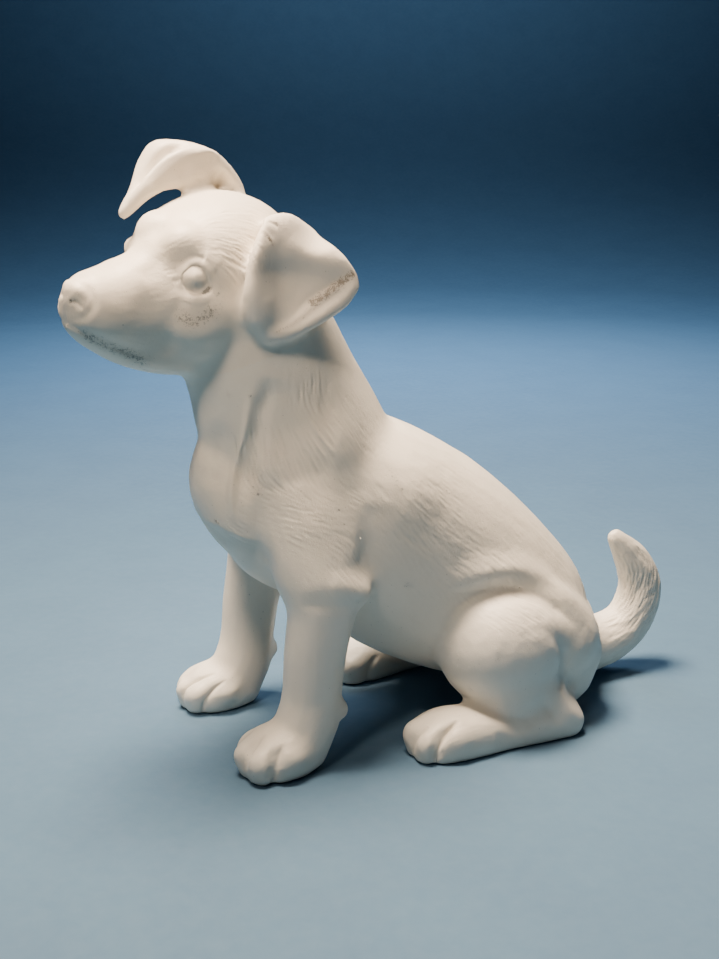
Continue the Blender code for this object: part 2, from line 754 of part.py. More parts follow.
def hanging_ear():
    rows = []
    for forward, left, up, share in HANGING_EAR_RIM:
        rows.append((forward, left, up, share * EAR_RIM / 2, share * EAR_RIM / 2))
    return ear("left_ear", sheet("flap", HANGING_EAR, EAR_THICKNESS), rows, head_way(0, 1, 0))


def raised_ear():
    return ear("right_ear", sheet("flap", RAISED_EAR, EAR_THICKNESS), RAISED_EAR_RIM, head_way(0, 1, 0))


# Parting into castings


def block(name, face, way):
    """Cutting block wider than the dog; one face is centred on a point, the block lies that way from it."""
    edge = 3 * (TRUNK_RUN + HEAD_LENGTH)
    bm = bmesh.new()
    bmesh.ops.create_cube(bm, size=edge * MM)
    centre = Vector(face) + Vector(way) * edge / 2
    bmesh.ops.translate(bm, vec=centre * MM, verts=bm.verts)
    mesh = bpy.data.meshes.new(name)
    bm.to_mesh(mesh)
    bm.free()
    return add_object(name, mesh)


def keep_largest(ob):
    """Drops loose slivers: only the biggest connected body stays."""
    bm = bmesh.new()
    bm.from_mesh(ob.data)
    bmesh.ops.remove_doubles(bm, verts=bm.verts, dist=0.00002)
    left = set(bm.verts)
    bodies = []
    while left:
        body = {left.pop()}
        edge_of = list(body)
        while edge_of:
            vert = edge_of.pop()
            for edge in vert.link_edges:
                other = edge.other_vert(vert)
                if other in left:
                    left.remove(other)
                    body.add(other)
                    edge_of.append(other)
        bodies.append(body)
    bodies.sort(key=len)
    drop = [vert for body in bodies[:-1] for vert in body]
    bmesh.ops.delete(bm, geom=drop, context="VERTS")
    bm.to_mesh(ob.data)
    bm.free()
    return ob


def limb_cutter(name, forms, margin, top=None):
    """Cutter that follows a limb at a margin outside it; an optional flat top ends it."""
    cutter = joined(name, forms)
    remesh(cutter, 0.9)
    relax(cutter, 4)
    swell(cutter, margin)
    thin_to(cutter, CUTTER_TRIANGLES)
    if top is not None:
        lid = block("lid", (0.0, 0.0, top), (0, 0, 1))
        boolean(cutter, lid, "DIFFERENCE")
        bpy.data.objects.remove(lid)
    return cutter


def part_off(dog, inner, outer, name):
    """Takes the inner form out of the dog as a casting and clears the outer form from the dog."""
    casting = boolean(copy_of(dog, name), inner, "INTERSECT")
    boolean(dog, outer, "DIFFERENCE")
    for cutter in (inner, outer):
        bpy.data.objects.remove(cutter)
    return keep_largest(casting)


def sliced(ob, at, way, name):
    """Copy of the part of a form on the far side of a plane, closed by a flat face."""
    bm = bmesh.new()
    bm.from_mesh(ob.data)
    everything = bm.verts[:] + bm.edges[:] + bm.faces[:]
    point = Vector(at) * MM
    bmesh.ops.bisect_plane(bm, geom=everything, plane_co=point, plane_no=Vector(way), clear_inner=True)
    rim = [edge for edge in bm.edges if edge.is_boundary]
    bmesh.ops.contextual_create(bm, geom=rim)
    mesh = bpy.data.meshes.new(name)
    bm.to_mesh(mesh)
    bm.free()
    return keep_largest(add_object(name, mesh))


def neck_seam():
    """Point and direction of the seam's plane."""
    tilt = math.radians(NECK_SEAM_TILT)
    at = neck_root() + NECK_SEAM_SHARE * NECK_LENGTH * neck_way()
    return at, np.array([0.0, -math.sin(tilt), math.cos(tilt)])


def part_tail(dog):
    inner = block("behind_seam", (0.0, TAIL_SEAM + GLUE_GAP, 0.0), (0, 1, 0))
    outer = block("behind_gap", (0.0, TAIL_SEAM, 0.0), (0, 1, 0))
    return part_off(dog, inner, outer, "tail")


def part_leg(dog, forms, name, place, seam):
    """Parts one leg off; the seam is the height of its flat top, or nothing for the folded hind leg."""
    outer_top = None if seam is None else seam + GLUE_GAP
    inner = limb_cutter("inner", forms(place), PARTING_MARGIN, seam)
    outer = limb_cutter("outer", forms(place), PARTING_MARGIN + GLUE_GAP, outer_top)
    return part_off(dog, inner, outer, name)


def plug_ear(head, flap):
    """Cuts the ear's pocket into the head, a glue gap larger than the ear."""
    pocket = swell(copy_of(flap, "pocket"), GLUE_GAP)
    boolean(head, pocket, "DIFFERENCE")
    bpy.data.objects.remove(pocket)
    return keep_largest(head)


# Locating wires


def rod(name, middle, way, diameter, length):
    bm = bmesh.new()
    radius = diameter / 2 * MM
    bmesh.ops.create_cone(bm, cap_ends=True, segments=20, radius1=radius, radius2=radius, depth=length * MM)
    turn = Vector((0, 0, 1)).rotation_difference(Vector(way)).to_matrix().to_4x4()
    bmesh.ops.transform(bm, matrix=Matrix.Translation(Vector(middle) * MM) @ turn, verts=bm.verts)
    mesh = bpy.data.meshes.new(name)
    bm.to_mesh(mesh)
    bm.free()
    return add_object(name, mesh)


def locate(name, castings, middle, way, diameter, length):
    """Adds a wire across a seam and drills its hole into both castings, with clearance all round."""
    hole = rod("hole", middle, way, diameter + 2 * GLUE_GAP, length + 2 * GLUE_GAP)
    for casting in castings:
        boolean(casting, hole, "DIFFERENCE")
    bpy.data.objects.remove(hole)
    return rod(name, middle, way, diameter, length)


# Assembly


def part_dog(dog):
    seam, way = neck_seam()
    head = sliced(dog, seam + GLUE_GAP * way, way, "head")
    body = sliced(dog, seam, -way, "torso")
    bpy.data.objects.remove(dog)
    thin_to(head, HEAD_TRIANGLES)
    thin_to(body, BODY_TRIANGLES)
    return head, body


def part_body(dog, head):
    ground = block("ground", (0.0, 0.0, 0.0), (0, 0, -1))
    boolean(dog, ground, "DIFFERENCE")
    bpy.data.objects.remove(ground)
    castings = {"head": head, "tail": part_tail(dog)}
    for word, place in (("left", on_left), ("right", on_right)):
        castings[word + "_foreleg"] = part_leg(dog, foreleg_forms, word + "_foreleg", place, ELBOW_SEAM)
        castings[word + "_hind_leg"] = part_leg(dog, hind_leg_forms, word + "_hind_leg", place, None)
    castings["torso"] = keep_largest(dog)
    return castings


def fit_wires(castings):
    torso = castings["torso"]
    pair = (torso, castings["head"])
    wires = [locate("neck_dowel", pair, neck_seam()[0], neck_way(), NECK_WIRE_DIAMETER, NECK_WIRE_LENGTH)]
    for word, side in (("left", 1), ("right", -1)):
        name = word + "_foreleg"
        at = (FORELEG_SPACING / 2 * side, FORELEG_PIN_SETBACK, ELBOW_SEAM)
        pair = (torso, castings[name])
        wires.append(locate(name + "_pin", pair, at, (0, 0, 1), FORELEG_WIRE_DIAMETER, FORELEG_WIRE_LENGTH))
        name = word + "_hind_leg"
        inner = THIGH_SPACING / 2 - THIGH_WIDTH / 2 - PARTING_MARGIN
        at = (inner * side, THIGH_SETBACK, thigh_centre_height())
        pair = (torso, castings[name])
        wires.append(locate(name + "_pin", pair, at, (1, 0, 0), HIND_LEG_WIRE_DIAMETER, HIND_LEG_WIRE_LENGTH))
    at = (0.0, TAIL_SEAM, TAIL_HEIGHT)
    pair = (torso, castings["tail"])
    wires.append(locate("tail_pin", pair, at, (0, 1, 0.15), TAIL_WIRE_DIAMETER, TAIL_WIRE_LENGTH))
    return wires


def finish(name, colour, roughness, metallic):
    material = bpy.data.materials.new(name)
    material.use_nodes = True
    shader = material.node_tree.nodes["Principled BSDF"]
    shader.inputs["Base Color"].default_value = (*colour, 1.0)
    shader.inputs["Roughness"].default_value = roughness
    shader.inputs["Metallic"].default_value = metallic
    return material


def dress(obs, colour, roughness, metallic):
    for ob in obs:
        ob.data.materials.clear()
        ob.data.materials.append(finish(ob.name + "_finish", colour, roughness, metallic))
        ob.data.shade_smooth()
        ob.data.set_sharp_from_angle(angle=math.radians(40))


def centre_on_origin(obs):
    """Moves everything so that the bottom centre of the whole box is the origin."""
    corners = np.concatenate([points_and_normals(ob)[0] for ob in obs])
    low, high = corners.min(0), corners.max(0)
    shift = Vector((-(low[0] + high[0]) / 2, -(low[1] + high[1]) / 2, -low[2])) * MM
    for ob in obs:
        ob.data.transform(Matrix.Translation(shift))


def build():
    clear_scene()
    dog = sculpt()
    head, body = part_dog(dog)
    castings = part_body(body, head)
    for name, flap in (("left_ear", hanging_ear()), ("right_ear", raised_ear())):
        thin_to(flap, EAR_TRIANGLES)
        plug_ear(castings["head"], flap)
        castings[name] = flap
    wires = fit_wires(castings)
    dress(list(castings.values()), RESIN_COLOUR, RESIN_ROUGHNESS, 0.0)
    dress(wires, WIRE_COLOUR, WIRE_ROUGHNESS, 1.0)
    centre_on_origin(list(castings.values()) + wires)


build()
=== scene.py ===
"""Sitting puppy figurine in cast off-white resin: its carved surface, finish, floor, light and camera.

The castings are joined into one form, as the figurine looks with its seams filled. The form is smoothed, the
face, ears, toes and folds are carved into it, and hair strokes are combed over it. It is then divided again,
one piece for each casting. Carving places are in millimetres from the point on the ground between the front
paws, and those of the head are in the head's own frame: forward, to the dog's left, and up.
"""

import math

import bmesh
import bpy
import numpy as np
from mathutils import Matrix, Vector
from mathutils.bvhtree import BVHTree
from mathutils.kdtree import KDTree


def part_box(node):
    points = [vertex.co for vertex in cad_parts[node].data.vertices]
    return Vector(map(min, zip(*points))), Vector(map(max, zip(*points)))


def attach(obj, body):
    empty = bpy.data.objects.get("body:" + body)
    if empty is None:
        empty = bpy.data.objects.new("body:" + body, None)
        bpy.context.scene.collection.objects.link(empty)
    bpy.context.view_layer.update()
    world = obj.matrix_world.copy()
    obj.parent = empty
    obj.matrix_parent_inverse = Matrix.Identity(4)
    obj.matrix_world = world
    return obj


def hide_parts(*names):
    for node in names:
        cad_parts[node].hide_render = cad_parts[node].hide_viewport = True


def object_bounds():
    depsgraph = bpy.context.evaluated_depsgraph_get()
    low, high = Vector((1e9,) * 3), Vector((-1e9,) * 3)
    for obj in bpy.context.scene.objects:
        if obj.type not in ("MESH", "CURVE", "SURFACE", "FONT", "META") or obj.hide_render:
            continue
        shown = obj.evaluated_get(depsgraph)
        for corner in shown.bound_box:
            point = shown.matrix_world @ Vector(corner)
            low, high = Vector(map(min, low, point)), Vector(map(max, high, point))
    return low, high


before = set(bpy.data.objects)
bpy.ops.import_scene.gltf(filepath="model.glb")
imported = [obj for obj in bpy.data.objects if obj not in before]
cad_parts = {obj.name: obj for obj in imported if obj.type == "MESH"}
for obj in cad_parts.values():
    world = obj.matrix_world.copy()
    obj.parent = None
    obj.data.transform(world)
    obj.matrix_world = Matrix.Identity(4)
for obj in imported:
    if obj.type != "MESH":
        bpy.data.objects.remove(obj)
cad_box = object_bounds()

MM = 0.001

CASTINGS = ("torso", "head", "left_ear", "right_ear", "left_foreleg", "right_foreleg", "left_hind_leg",
            "right_hind_leg", "tail")
WIRES = ("neck_dowel", "left_foreleg_pin", "right_foreleg_pin", "left_hind_leg_pin", "right_hind_leg_pin",
         "tail_pin")

MOST_TRIANGLES = 185000

# Sizes in millimetres and turns in degrees
SEAM_FILL = 0.35
CARVING_GRAIN = 0.40
SIZE_MARGIN = 0.02
SQUEEZE_BAND = 3.0
FORELEG_PIN_PLACE = (17.0, 9.0)
HEAD_TURN = 24.0
HEAD_TILT = 15.0
EYE_LINE = (4.5, -15.0, 94.3)
RIGHT_PAW_LEAD = 2.2
# Share of that lead that is gone at the height of the elbow
LEAD_LOSS = 0.5
RIGHT_FOOT_TUCK = 3.4
ELBOW_HEIGHT = 34.6
BODY_MIDDLE = 20.0
FOOT_TOP = 12.0
HOCK_SETBACK = 59.0
HIND_FOOT_RUN = 31.0

# Camera: the photograph's viewing angle
CAMERA_PLACE = (222.957, -70.925, 110.825)
CAMERA_AIM = (16.855, 16.560, 55.0)
LENS = 46.92


# Selecting, reading and modifiers


def read_values(items, name, width=1, kind=float):
    """One field of a mesh's points, edges or faces, as an array."""
    values = np.empty(len(items) * width, kind)
    items.foreach_get(name, values)
    return values.reshape(-1, width) if width > 1 else values


def select_only(ob):
    bpy.ops.object.select_all(action="DESELECT")
    ob.select_set(True)
    bpy.context.view_layer.objects.active = ob


def new_object(name, data):
    ob = bpy.data.objects.new(name, data)
    bpy.context.scene.collection.objects.link(ob)
    return ob


def apply_modifier(ob, name, kind, **settings):
    modifier = ob.modifiers.new(name, kind)
    for setting, value in settings.items():
        setattr(modifier, setting, value)
    select_only(ob)
    bpy.ops.object.modifier_apply(modifier=modifier.name)


def relax(ob, times):
    apply_modifier(ob, "relax", "SMOOTH", factor=RELAX_SHARE, iterations=times)


def swell(ob, by):
    apply_modifier(ob, "swell", "DISPLACE", mid_level=0.0, strength=by * MM)


# The joined form

# Metres between points that are merged
MERGE_GAP = 0.00001
# Rounds of smoothing before and after the filled seams are drawn back
SEAM_ROUNDS = 5
FORM_ROUNDS = 11
RELAX_SHARE = 0.5


def merged_copy(node):
    """Copy of a casting's solid with its loose triangles merged."""
    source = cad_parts[node]
    ob = new_object(node + "_copy", source.data.copy())
    select_only(ob)
    bpy.ops.object.mode_set(mode="EDIT")
    bpy.ops.mesh.select_all(action="SELECT")
    bpy.ops.mesh.remove_doubles(threshold=MERGE_GAP)
    bpy.ops.object.mode_set(mode="OBJECT")
    return ob


def join_castings():
    """One skin over all castings, with the glue gaps filled."""
    copies = [merged_copy(node) for node in CASTINGS]
    bpy.ops.object.select_all(action="DESELECT")
    for ob in copies:
        ob.select_set(True)
    bpy.context.view_layer.objects.active = copies[0]
    bpy.ops.object.join()
    puppy = bpy.context.view_layer.objects.active
    puppy.name = "puppy"
    puppy.data.materials.clear()
    swell(puppy, SEAM_FILL)
    apply_modifier(puppy, "voxel skin", "REMESH", mode="VOXEL", voxel_size=CARVING_GRAIN * MM)
    relax(puppy, SEAM_ROUNDS)
    swell(puppy, -SEAM_FILL)
    relax(puppy, FORM_ROUNDS)
    return puppy


# Places


def paw_line():
    """Point on the ground between the front paws, from the place of the left foreleg's pin."""
    low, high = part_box("left_foreleg_pin")
    middle = (np.array(low) + np.array(high)) / 2 / MM
    return np.array([middle[0] - FORELEG_PIN_PLACE[0], middle[1] - FORELEG_PIN_PLACE[1], 0.0])


PAW_LINE = paw_line()
HEAD_FRAME = np.array(Matrix.Rotation(math.radians(HEAD_TURN), 3, "Z")
                      @ Matrix.Rotation(math.radians(HEAD_TILT), 3, "Y"))


def on_body(point):
    return np.array(point, float) + PAW_LINE


def head_way(forward, left, up):
    return HEAD_FRAME @ np.array([left, -forward, up], float)


def on_head(point):
    return np.array(EYE_LINE) + PAW_LINE + head_way(*point)


def on_head_right(point):
    forward, left, up = point
    return on_head((forward, -left, up))


def on_right(point):
    """The right side's match of a place on the left; that paw is further forward, that foot tucked in."""
    x, y, z = point
    if y < BODY_MIDDLE:
        return -x, y - RIGHT_PAW_LEAD * np.clip(1 - LEAD_LOSS * z / ELBOW_HEIGHT, 0, 1), z
    if z < FOOT_TOP:
        x -= RIGHT_FOOT_TUCK * np.clip((HOCK_SETBACK - y) / HIND_FOOT_RUN, 0, 1)
    return -x, y, z


def on_leg_right(point):
    return on_body(on_right(point))


def on_mirrored_body(point):
    x, y, z = point
    return on_body((-x, y, z))


HEAD_SIDES = (on_head, on_head_right)
LEG_SIDES = (on_body, on_leg_right)
BODY_SIDES = (on_body, on_mirrored_body)


def spheres(places, sides):
    """Centre and radius of each sphere, once for each side."""
    return [(side(place), radius) for place, radius in places for side in sides]


# Carving

# A stroke's reach in half widths, its curve's steps, and the shortest share of it that fades
STROKE_REACH = 2.6
STROKE_STEPS = 10
LEAST_FADE = 0.001
# Steps between two places of the eye's outline
OUTLINE_STEPS = 6
# Share of the way to its neighbours' mean that a point moves in one round
SOFTEN_SHARE = 0.6
# The lid, in shares of the eye's opening: the climb from the ball, the crest's place and its width
LID_CLIMB = 0.11
LID_CREST = 1.2
LID_WIDTH = 0.2


class Carving:
    """Points and normals of a mesh in millimetres, moved by soft strokes."""

    def __init__(self, ob):
        self.ob = ob
        self.read()

    def read(self):
        self.points = read_values(self.ob.data.vertices, "co", 3) / MM
        self.normals = read_values(self.ob.data.vertices, "normal", 3)

    def write(self):
        self.ob.data.vertices.foreach_set("co", (self.points * MM).ravel())
        self.ob.data.update()
        self.read()

    def push(self, at, radius, by, way=None):
        """Swells (plus) or hollows (minus) the skin round a point, or moves it along a way."""
        share = np.linalg.norm(self.points - at, axis=1) / radius
        near = np.where(share < 1)[0]
        weight = (1 - share[near] ** 2) ** 2 * by
        self.points[near] += weight[:, None] * (self.normals[near] if way is None else way)

    def soften(self, places, rounds):
        """Smooths the skin within some spheres: place and radius."""
        first, second, count = mesh_edges(self.ob.data)
        weight = np.zeros(len(self.points))
        for place, radius in places:
            share = np.linalg.norm(self.points - place, axis=1) / radius
            weight = np.maximum(weight, np.clip(1 - share ** 2, 0, 1))
        for _ in range(rounds):
            mean = mean_of_neighbours(self.points, first, second, count)
            self.points += SOFTEN_SHARE * weight[:, None] * (mean - self.points)

    def stroke(self, line, half_width, by, fade=(0.2, 0.2)):
        """Draws a groove (minus) or a ridge (plus) along a line, with shares of it faded at its ends."""
        path = curve_through(line, STROKE_STEPS)
        reach = STROKE_REACH * half_width
        low, high = path.min(0) - reach, path.max(0) + reach
        near = np.where(((self.points > low) & (self.points < high)).all(1))[0]
        if not len(near):
            return
        gaps = ((self.points[near, None, :] - path[None]) ** 2).sum(2)
        nearest = gaps.argmin(1)
        along = nearest / (len(path) - 1)
        start, end = (max(share, LEAST_FADE) for share in fade)
        ends = np.clip(np.minimum(along / start, (1 + LEAST_FADE - along) / end), 0, 1)
        weight = np.exp(-gaps[np.arange(len(near)), nearest] / half_width ** 2) * ends * by
        self.points[near] += weight[:, None] * self.normals[near]

    def eyeball(self, centre, facing, outline):
        """A ball set between raised lids; the outline is the opening of the lids."""
        facing = facing / np.linalg.norm(facing)
        upward = head_way(0, 0, 1)
        upward = upward - (upward @ facing) * facing
        upward /= np.linalg.norm(upward)
        across = np.cross(upward, facing)
        rim = curve_through(list(outline) + [outline[0]], OUTLINE_STEPS)[:-1] - centre
        rim_angle = np.arctan2(rim @ upward, rim @ across)
        rim_reach = np.hypot(rim @ upward, rim @ across)
        order = np.argsort(rim_angle)
        flat = self.points - centre
        near = np.where(np.linalg.norm(flat, axis=1) < EYE_REACH)[0]
        a, b = flat[near] @ across, flat[near] @ upward
        reach = np.interp(np.arctan2(b, a), rim_angle[order], rim_reach[order], period=2 * math.pi)
        share = np.hypot(a, b) / reach
        ball = -EYE_SINK + EYE_BULGE * (1 - np.minimum(share, 1) ** 2)
        climb = np.clip((share - 1.0) / LID_CLIMB, 0, 1)
        lid = LID_HEIGHT * np.exp(-((share - LID_CREST) / LID_WIDTH) ** 2)
        lift = np.where(share < 1, ball, -EYE_SINK * (1 - climb) + lid * climb)
        self.points[near] += lift[:, None] * facing


def stroke_all(carving, lines, sides):
    """Draws each line once for each side: a side turns a written place into one on the skin."""
    for half_width, height, line in lines:
        for side in sides:
            carving.stroke([side(place) for place in line], half_width, height)


def mesh_edges(mesh):
    """The two points of each edge, and the number of edges at each point."""
    first, second = read_values(mesh.edges, "vertices", 2, int).T
    return first, second, np.bincount(np.concatenate([first, second]), minlength=len(mesh.vertices))


def mean_of_neighbours(values, first, second, count):
    """Mean of each point's neighbours, along the mesh's edges."""
    out = np.empty_like(values)
    for k in range(values.shape[1]):
        out[:, k] = (np.bincount(first, weights=values[second, k], minlength=len(values))
                     + np.bincount(second, weights=values[first, k], minlength=len(values)))
    return out / np.maximum(count, 1)[:, None]


def curve_through(rows, steps):
    """Smooth curve through rows of numbers."""
    rows = [np.array(row, float) for row in rows]
    rows = [2 * rows[0] - rows[1]] + rows + [2 * rows[-1] - rows[-2]]
    out = []
    for i in range(1, len(rows) - 2):
        a, b, c, d = rows[i - 1:i + 3]
        for k in range(steps):
            t = k / steps
            bend = (2 * a - 5 * b + 4 * c - d) * t * t + (3 * b - a - 3 * c + d) * t ** 3
            out.append(0.5 * (2 * b + (c - a) * t + bend))
    out.append(rows[-2])
    return np.array(out)


def refine(ob, regions):
    """Halves the mesh's grain within some spheres: place and radius in millimetres."""
    mesh = ob.data
    centres = read_values(mesh.polygons, "center", 3) / MM
    chosen = np.zeros(len(centres), bool)
    for place, radius in regions:
        chosen |= np.linalg.norm(centres - place, axis=1) < radius
    select_only(ob)
    bpy.ops.object.mode_set(mode="EDIT")
    bpy.ops.mesh.select_all(action="DESELECT")
    bpy.ops.mesh.select_mode(type="FACE")
    bpy.ops.object.mode_set(mode="OBJECT")
    mesh.polygons.foreach_set("select", chosen)
    bpy.ops.object.mode_set(mode="EDIT")
    bpy.ops.mesh.subdivide(number_cuts=1)
    bpy.ops.object.mode_set(mode="OBJECT")


# Places carved at half the grain: place and radius, in the head's frame and on the body's left side
FINE_HEAD = (((1.6, 9.9, 0.5), 8), ((1.6, -9.9, 0.5), 7), ((19, 0, -5.5), 8),
             ((12, 4, -11), 6.5), ((-5, 10.5, 6), 7.5), ((-5, -10.5, 6), 6),
             ((-18, 20, 0), 8), ((-9, 14, 9.5), 4.5))
FINE_BODY = (((13, 3, 56), 13), ((17, 12, 44), 10), ((14, 12, 66), 9),
             ((18, 28, 42), 12), ((19, 40, 36), 9), ((22, 46, 30), 8),
             ((7, -6, 50), 8), ((21, 9, 35), 6), ((3, 92, 18), 13),
             ((18, -4, 4), 9), ((26, 30, 4), 8), ((27, 54, 6), 6))


def thin_out(ob, share):
    """Fewer triangles where the skin is plain; the sharp rims, where pieces meet, are kept as they are."""
    group = ob.vertex_groups.new(name="away from rims")
    group.add(range(len(ob.data.vertices)), 1.0, "REPLACE")
    rims = [v for edge in ob.data.edges if edge.use_edge_sharp for v in edge.vertices]
    group.add(rims, 0.0, "REPLACE")
    apply_modifier(ob, "thin out", "DECIMATE", ratio=share, vertex_group=group.name)


# The face, in the head's own frame

EYE = (1.6, 9.9, 0.5)
EYE_FACING = (0.41, 0.89, 0.18)
EYE_REACH = 5.5
EYE_SINK = 0.24
EYE_BULGE = 0.56
LID_HEIGHT = 0.05
EYE_OUTLINE = ((3.1, 8.2, 0.2), (2.9, 8.1, 1.2), (1.5, 8.4, 2.5), (0.5, 9.2, 2.5), (-0.2, 10.1, 1.5),
               (-0.8, 11.1, -1), (0.6, 10.5, -1.9), (1.9, 9.3, -1.8), (2.9, 8.4, -0.8))

# Lines of the face: half width, height (minus is a groove), and the line; the other side mirrors them
FACE_LINES = (
    # hollow of the brow in front of and above the eye, and the bulge behind it
    (1.9, -0.22, ((4.5, 6.4, 0.2), (4, 6.4, 1.6), (3.1, 6.5, 3.2), (2, 7, 4.5), (0.6, 7.8, 5.2))),
    (1.8, 0.18, ((0.2, 9.3, 4), (-0.8, 10, 3.6), (-2.2, 11, 2.6))),
    # upper lid and its fold
    (0.55, 0.20, ((5, 6.6, 0.4), (4, 7.1, 1.1), (3.1, 7.5, 2.1), (1.9, 8, 3.1), (0.4, 9.1, 3.2),
                  (-0.7, 10.2, 2), (-1.2, 11, 0.4))),
    (0.34, -0.14, ((3.7, 7, 2.2), (2.5, 7.3, 3.5), (0.8, 8.4, 4.2), (-1, 9.8, 3.3), (-1.8, 11, 1.4),
                   (-1.9, 11.5, -0.4))),
    # corner of the eye and its wrinkles
    (0.55, -0.15, ((3, 8.3, 0.3), (3.6, 7.5, -0.1), (4.4, 7.1, -0.5))),
    (0.24, -0.08, ((5.3, 5.4, 0.9), (4.2, 6, 1.3), (3.2, 6.7, 1.7))),
    (0.24, -0.08, ((5.1, 5.9, 0.3), (4.2, 6.4, 0.7), (3.3, 7, 1.1))),
    # lower lid and the hollow under it
    (1.2, 0.12, ((4.6, 7.5, -1.7), (3.2, 9.3, -2.7), (1.2, 11.2, -2.7), (-1, 11.7, -1.6))),
    (0.3, -0.08, ((3.6, 8.9, -3.5), (1.6, 11.2, -3.9), (-0.9, 12.1, -2.9))),
    (2.2, -0.26, ((5.4, 8, -3.9), (3.8, 9.8, -5.2), (1.6, 11.6, -5.6), (-0.6, 12.5, -4.5))),
    # edge of the nose pad, the lines beside it and the groove under it
    (0.7, -0.24, ((19.6, -0.6, -1.9), (19.1, 0.9, -1.8), (18.3, 2.6, -2.3), (18.1, 4, -3.6),
                  (18.4, 4.5, -5), (19.2, 4, -6.3), (19.9, 3, -7.3), (20.2, 0.7, -8.3))),
    (0.24, -0.08, ((18, 4.6, -5.2), (16.6, 5, -5.4), (15, 5.4, -5.9))),
    (0.24, -0.06, ((18.3, 4.4, -6.2), (16.8, 5, -6.5), (15.4, 5.3, -7))),
    # lips
    (0.36, -0.16, ((20.2, 0.3, -9.6), (19.8, 2.2, -9.2), (18.2, 3.7, -10.5), (16.1, 4.6, -11.8),
                   (12.8, 5.1, -12.8), (9.7, 5.7, -13.7), (7, 6.4, -14.4))),
    # stop between the eyes, and the cheek's lower edge
    (1.6, -0.25, ((9.5, 4.6, -0.6), (6.6, 4.2, 0.9), (4.2, 3.6, 3))),
    (1.4, -0.20, ((7, 7.6, -9.5), (2, 10.8, -11.5), (-3.6, 12.6, -11))),
)
# One line down the middle of the nose and the lip
NOSE_GROOVE = ((20.9, 0, -6.2), (20.8, 0, -7.4), (20.2, 0, -8.8), (19.7, 0, -9.8))
NOSTRIL = ((20.7, 0.9, -5), (20.4, 1.9, -4.6), (19.9, 2.9, -4.9), (19.3, 3.5, -5.6))
NOSTRIL_WIDTH = 0.34
NOSTRIL_DEPTH = -0.45
NOSTRIL_FADE = (0.3, 0.5)
NOSE_GROOVE_WIDTH = 0.42
NOSE_GROOVE_DEPTH = -0.38
# Places smoothed after the face is carved: place and radius
FACE_SOFT = (((19.6, 2.4, -4.6), 4.4), ((2.6, 10.4, -4.8), 3.6), ((2.6, 6.8, 4), 3))
FACE_SOFT_ROUNDS = 4
# Lines drawn before the eye is set
BROW_LINES = 2
# Swellings of the face: place, radius and height
FACE_SWELLINGS = (
    ((19.6, 1.4, -2.6), 2.6, 0.35),
    ((19.4, 2.9, -6.3), 1.4, 0.16),
    ((14.5, 5.4, -7.4), 5, 0.35),
    ((8.2, 6.6, -4), 4, -0.30),
    ((-4.5, 12.6, -5.5), 6, 0.25),
    ((2, 4.8, 6.6), 4.6, 1.05),
    ((3.4, 0, 6.4), 3, -0.35),
)


def carve_face(carving):
    for side in HEAD_SIDES:
        stroke_all(carving, FACE_LINES[:BROW_LINES], [side])
        for place, radius, height in FACE_SWELLINGS:
            if place[1] or side is on_head:
                carving.push(side(place), radius, height)
    carving.write()
    forward, left, up = EYE_FACING
    for side, facing in zip(HEAD_SIDES, ((forward, left, up), (forward, -left, up))):
        carving.eyeball(side(EYE), head_way(*facing), [side(place) for place in EYE_OUTLINE])
    carving.write()
    for side in HEAD_SIDES:
        stroke_all(carving, FACE_LINES[BROW_LINES:], [side])
        carving.stroke([side(place) for place in NOSTRIL], NOSTRIL_WIDTH, NOSTRIL_DEPTH, NOSTRIL_FADE)
    carving.stroke([on_head(place) for place in NOSE_GROOVE], NOSE_GROOVE_WIDTH, NOSE_GROOVE_DEPTH)
    carving.write()
    carving.soften(spheres(FACE_SOFT, HEAD_SIDES), FACE_SOFT_ROUNDS)
    carving.write()


# The ears, in the head's own frame

# Places smoothed before and after their lines are drawn, and the rounds of each
EAR_SOFT = (((-8, 15.5, 6.5), 6), ((-8.5, 17, -4), 6), ((-14, 17, 2), 9),
            ((-11, -7, 13), 5))
EAR_ROUNDS = (25, 6)
# Parts of the hanging ear that are moved: place, radius and the way
EAR_NUDGES = (((-17.8, 16, 9.4), 5, (0, 0, -1)), ((-13, 18.5, -5), 10, (0.1, 0.6, 0)))
# Fullness of the hanging ear's front: place, radius and height
EAR_FULLNESS = ((-8.8, 17.3, -2.0), 6.5, 0.9)
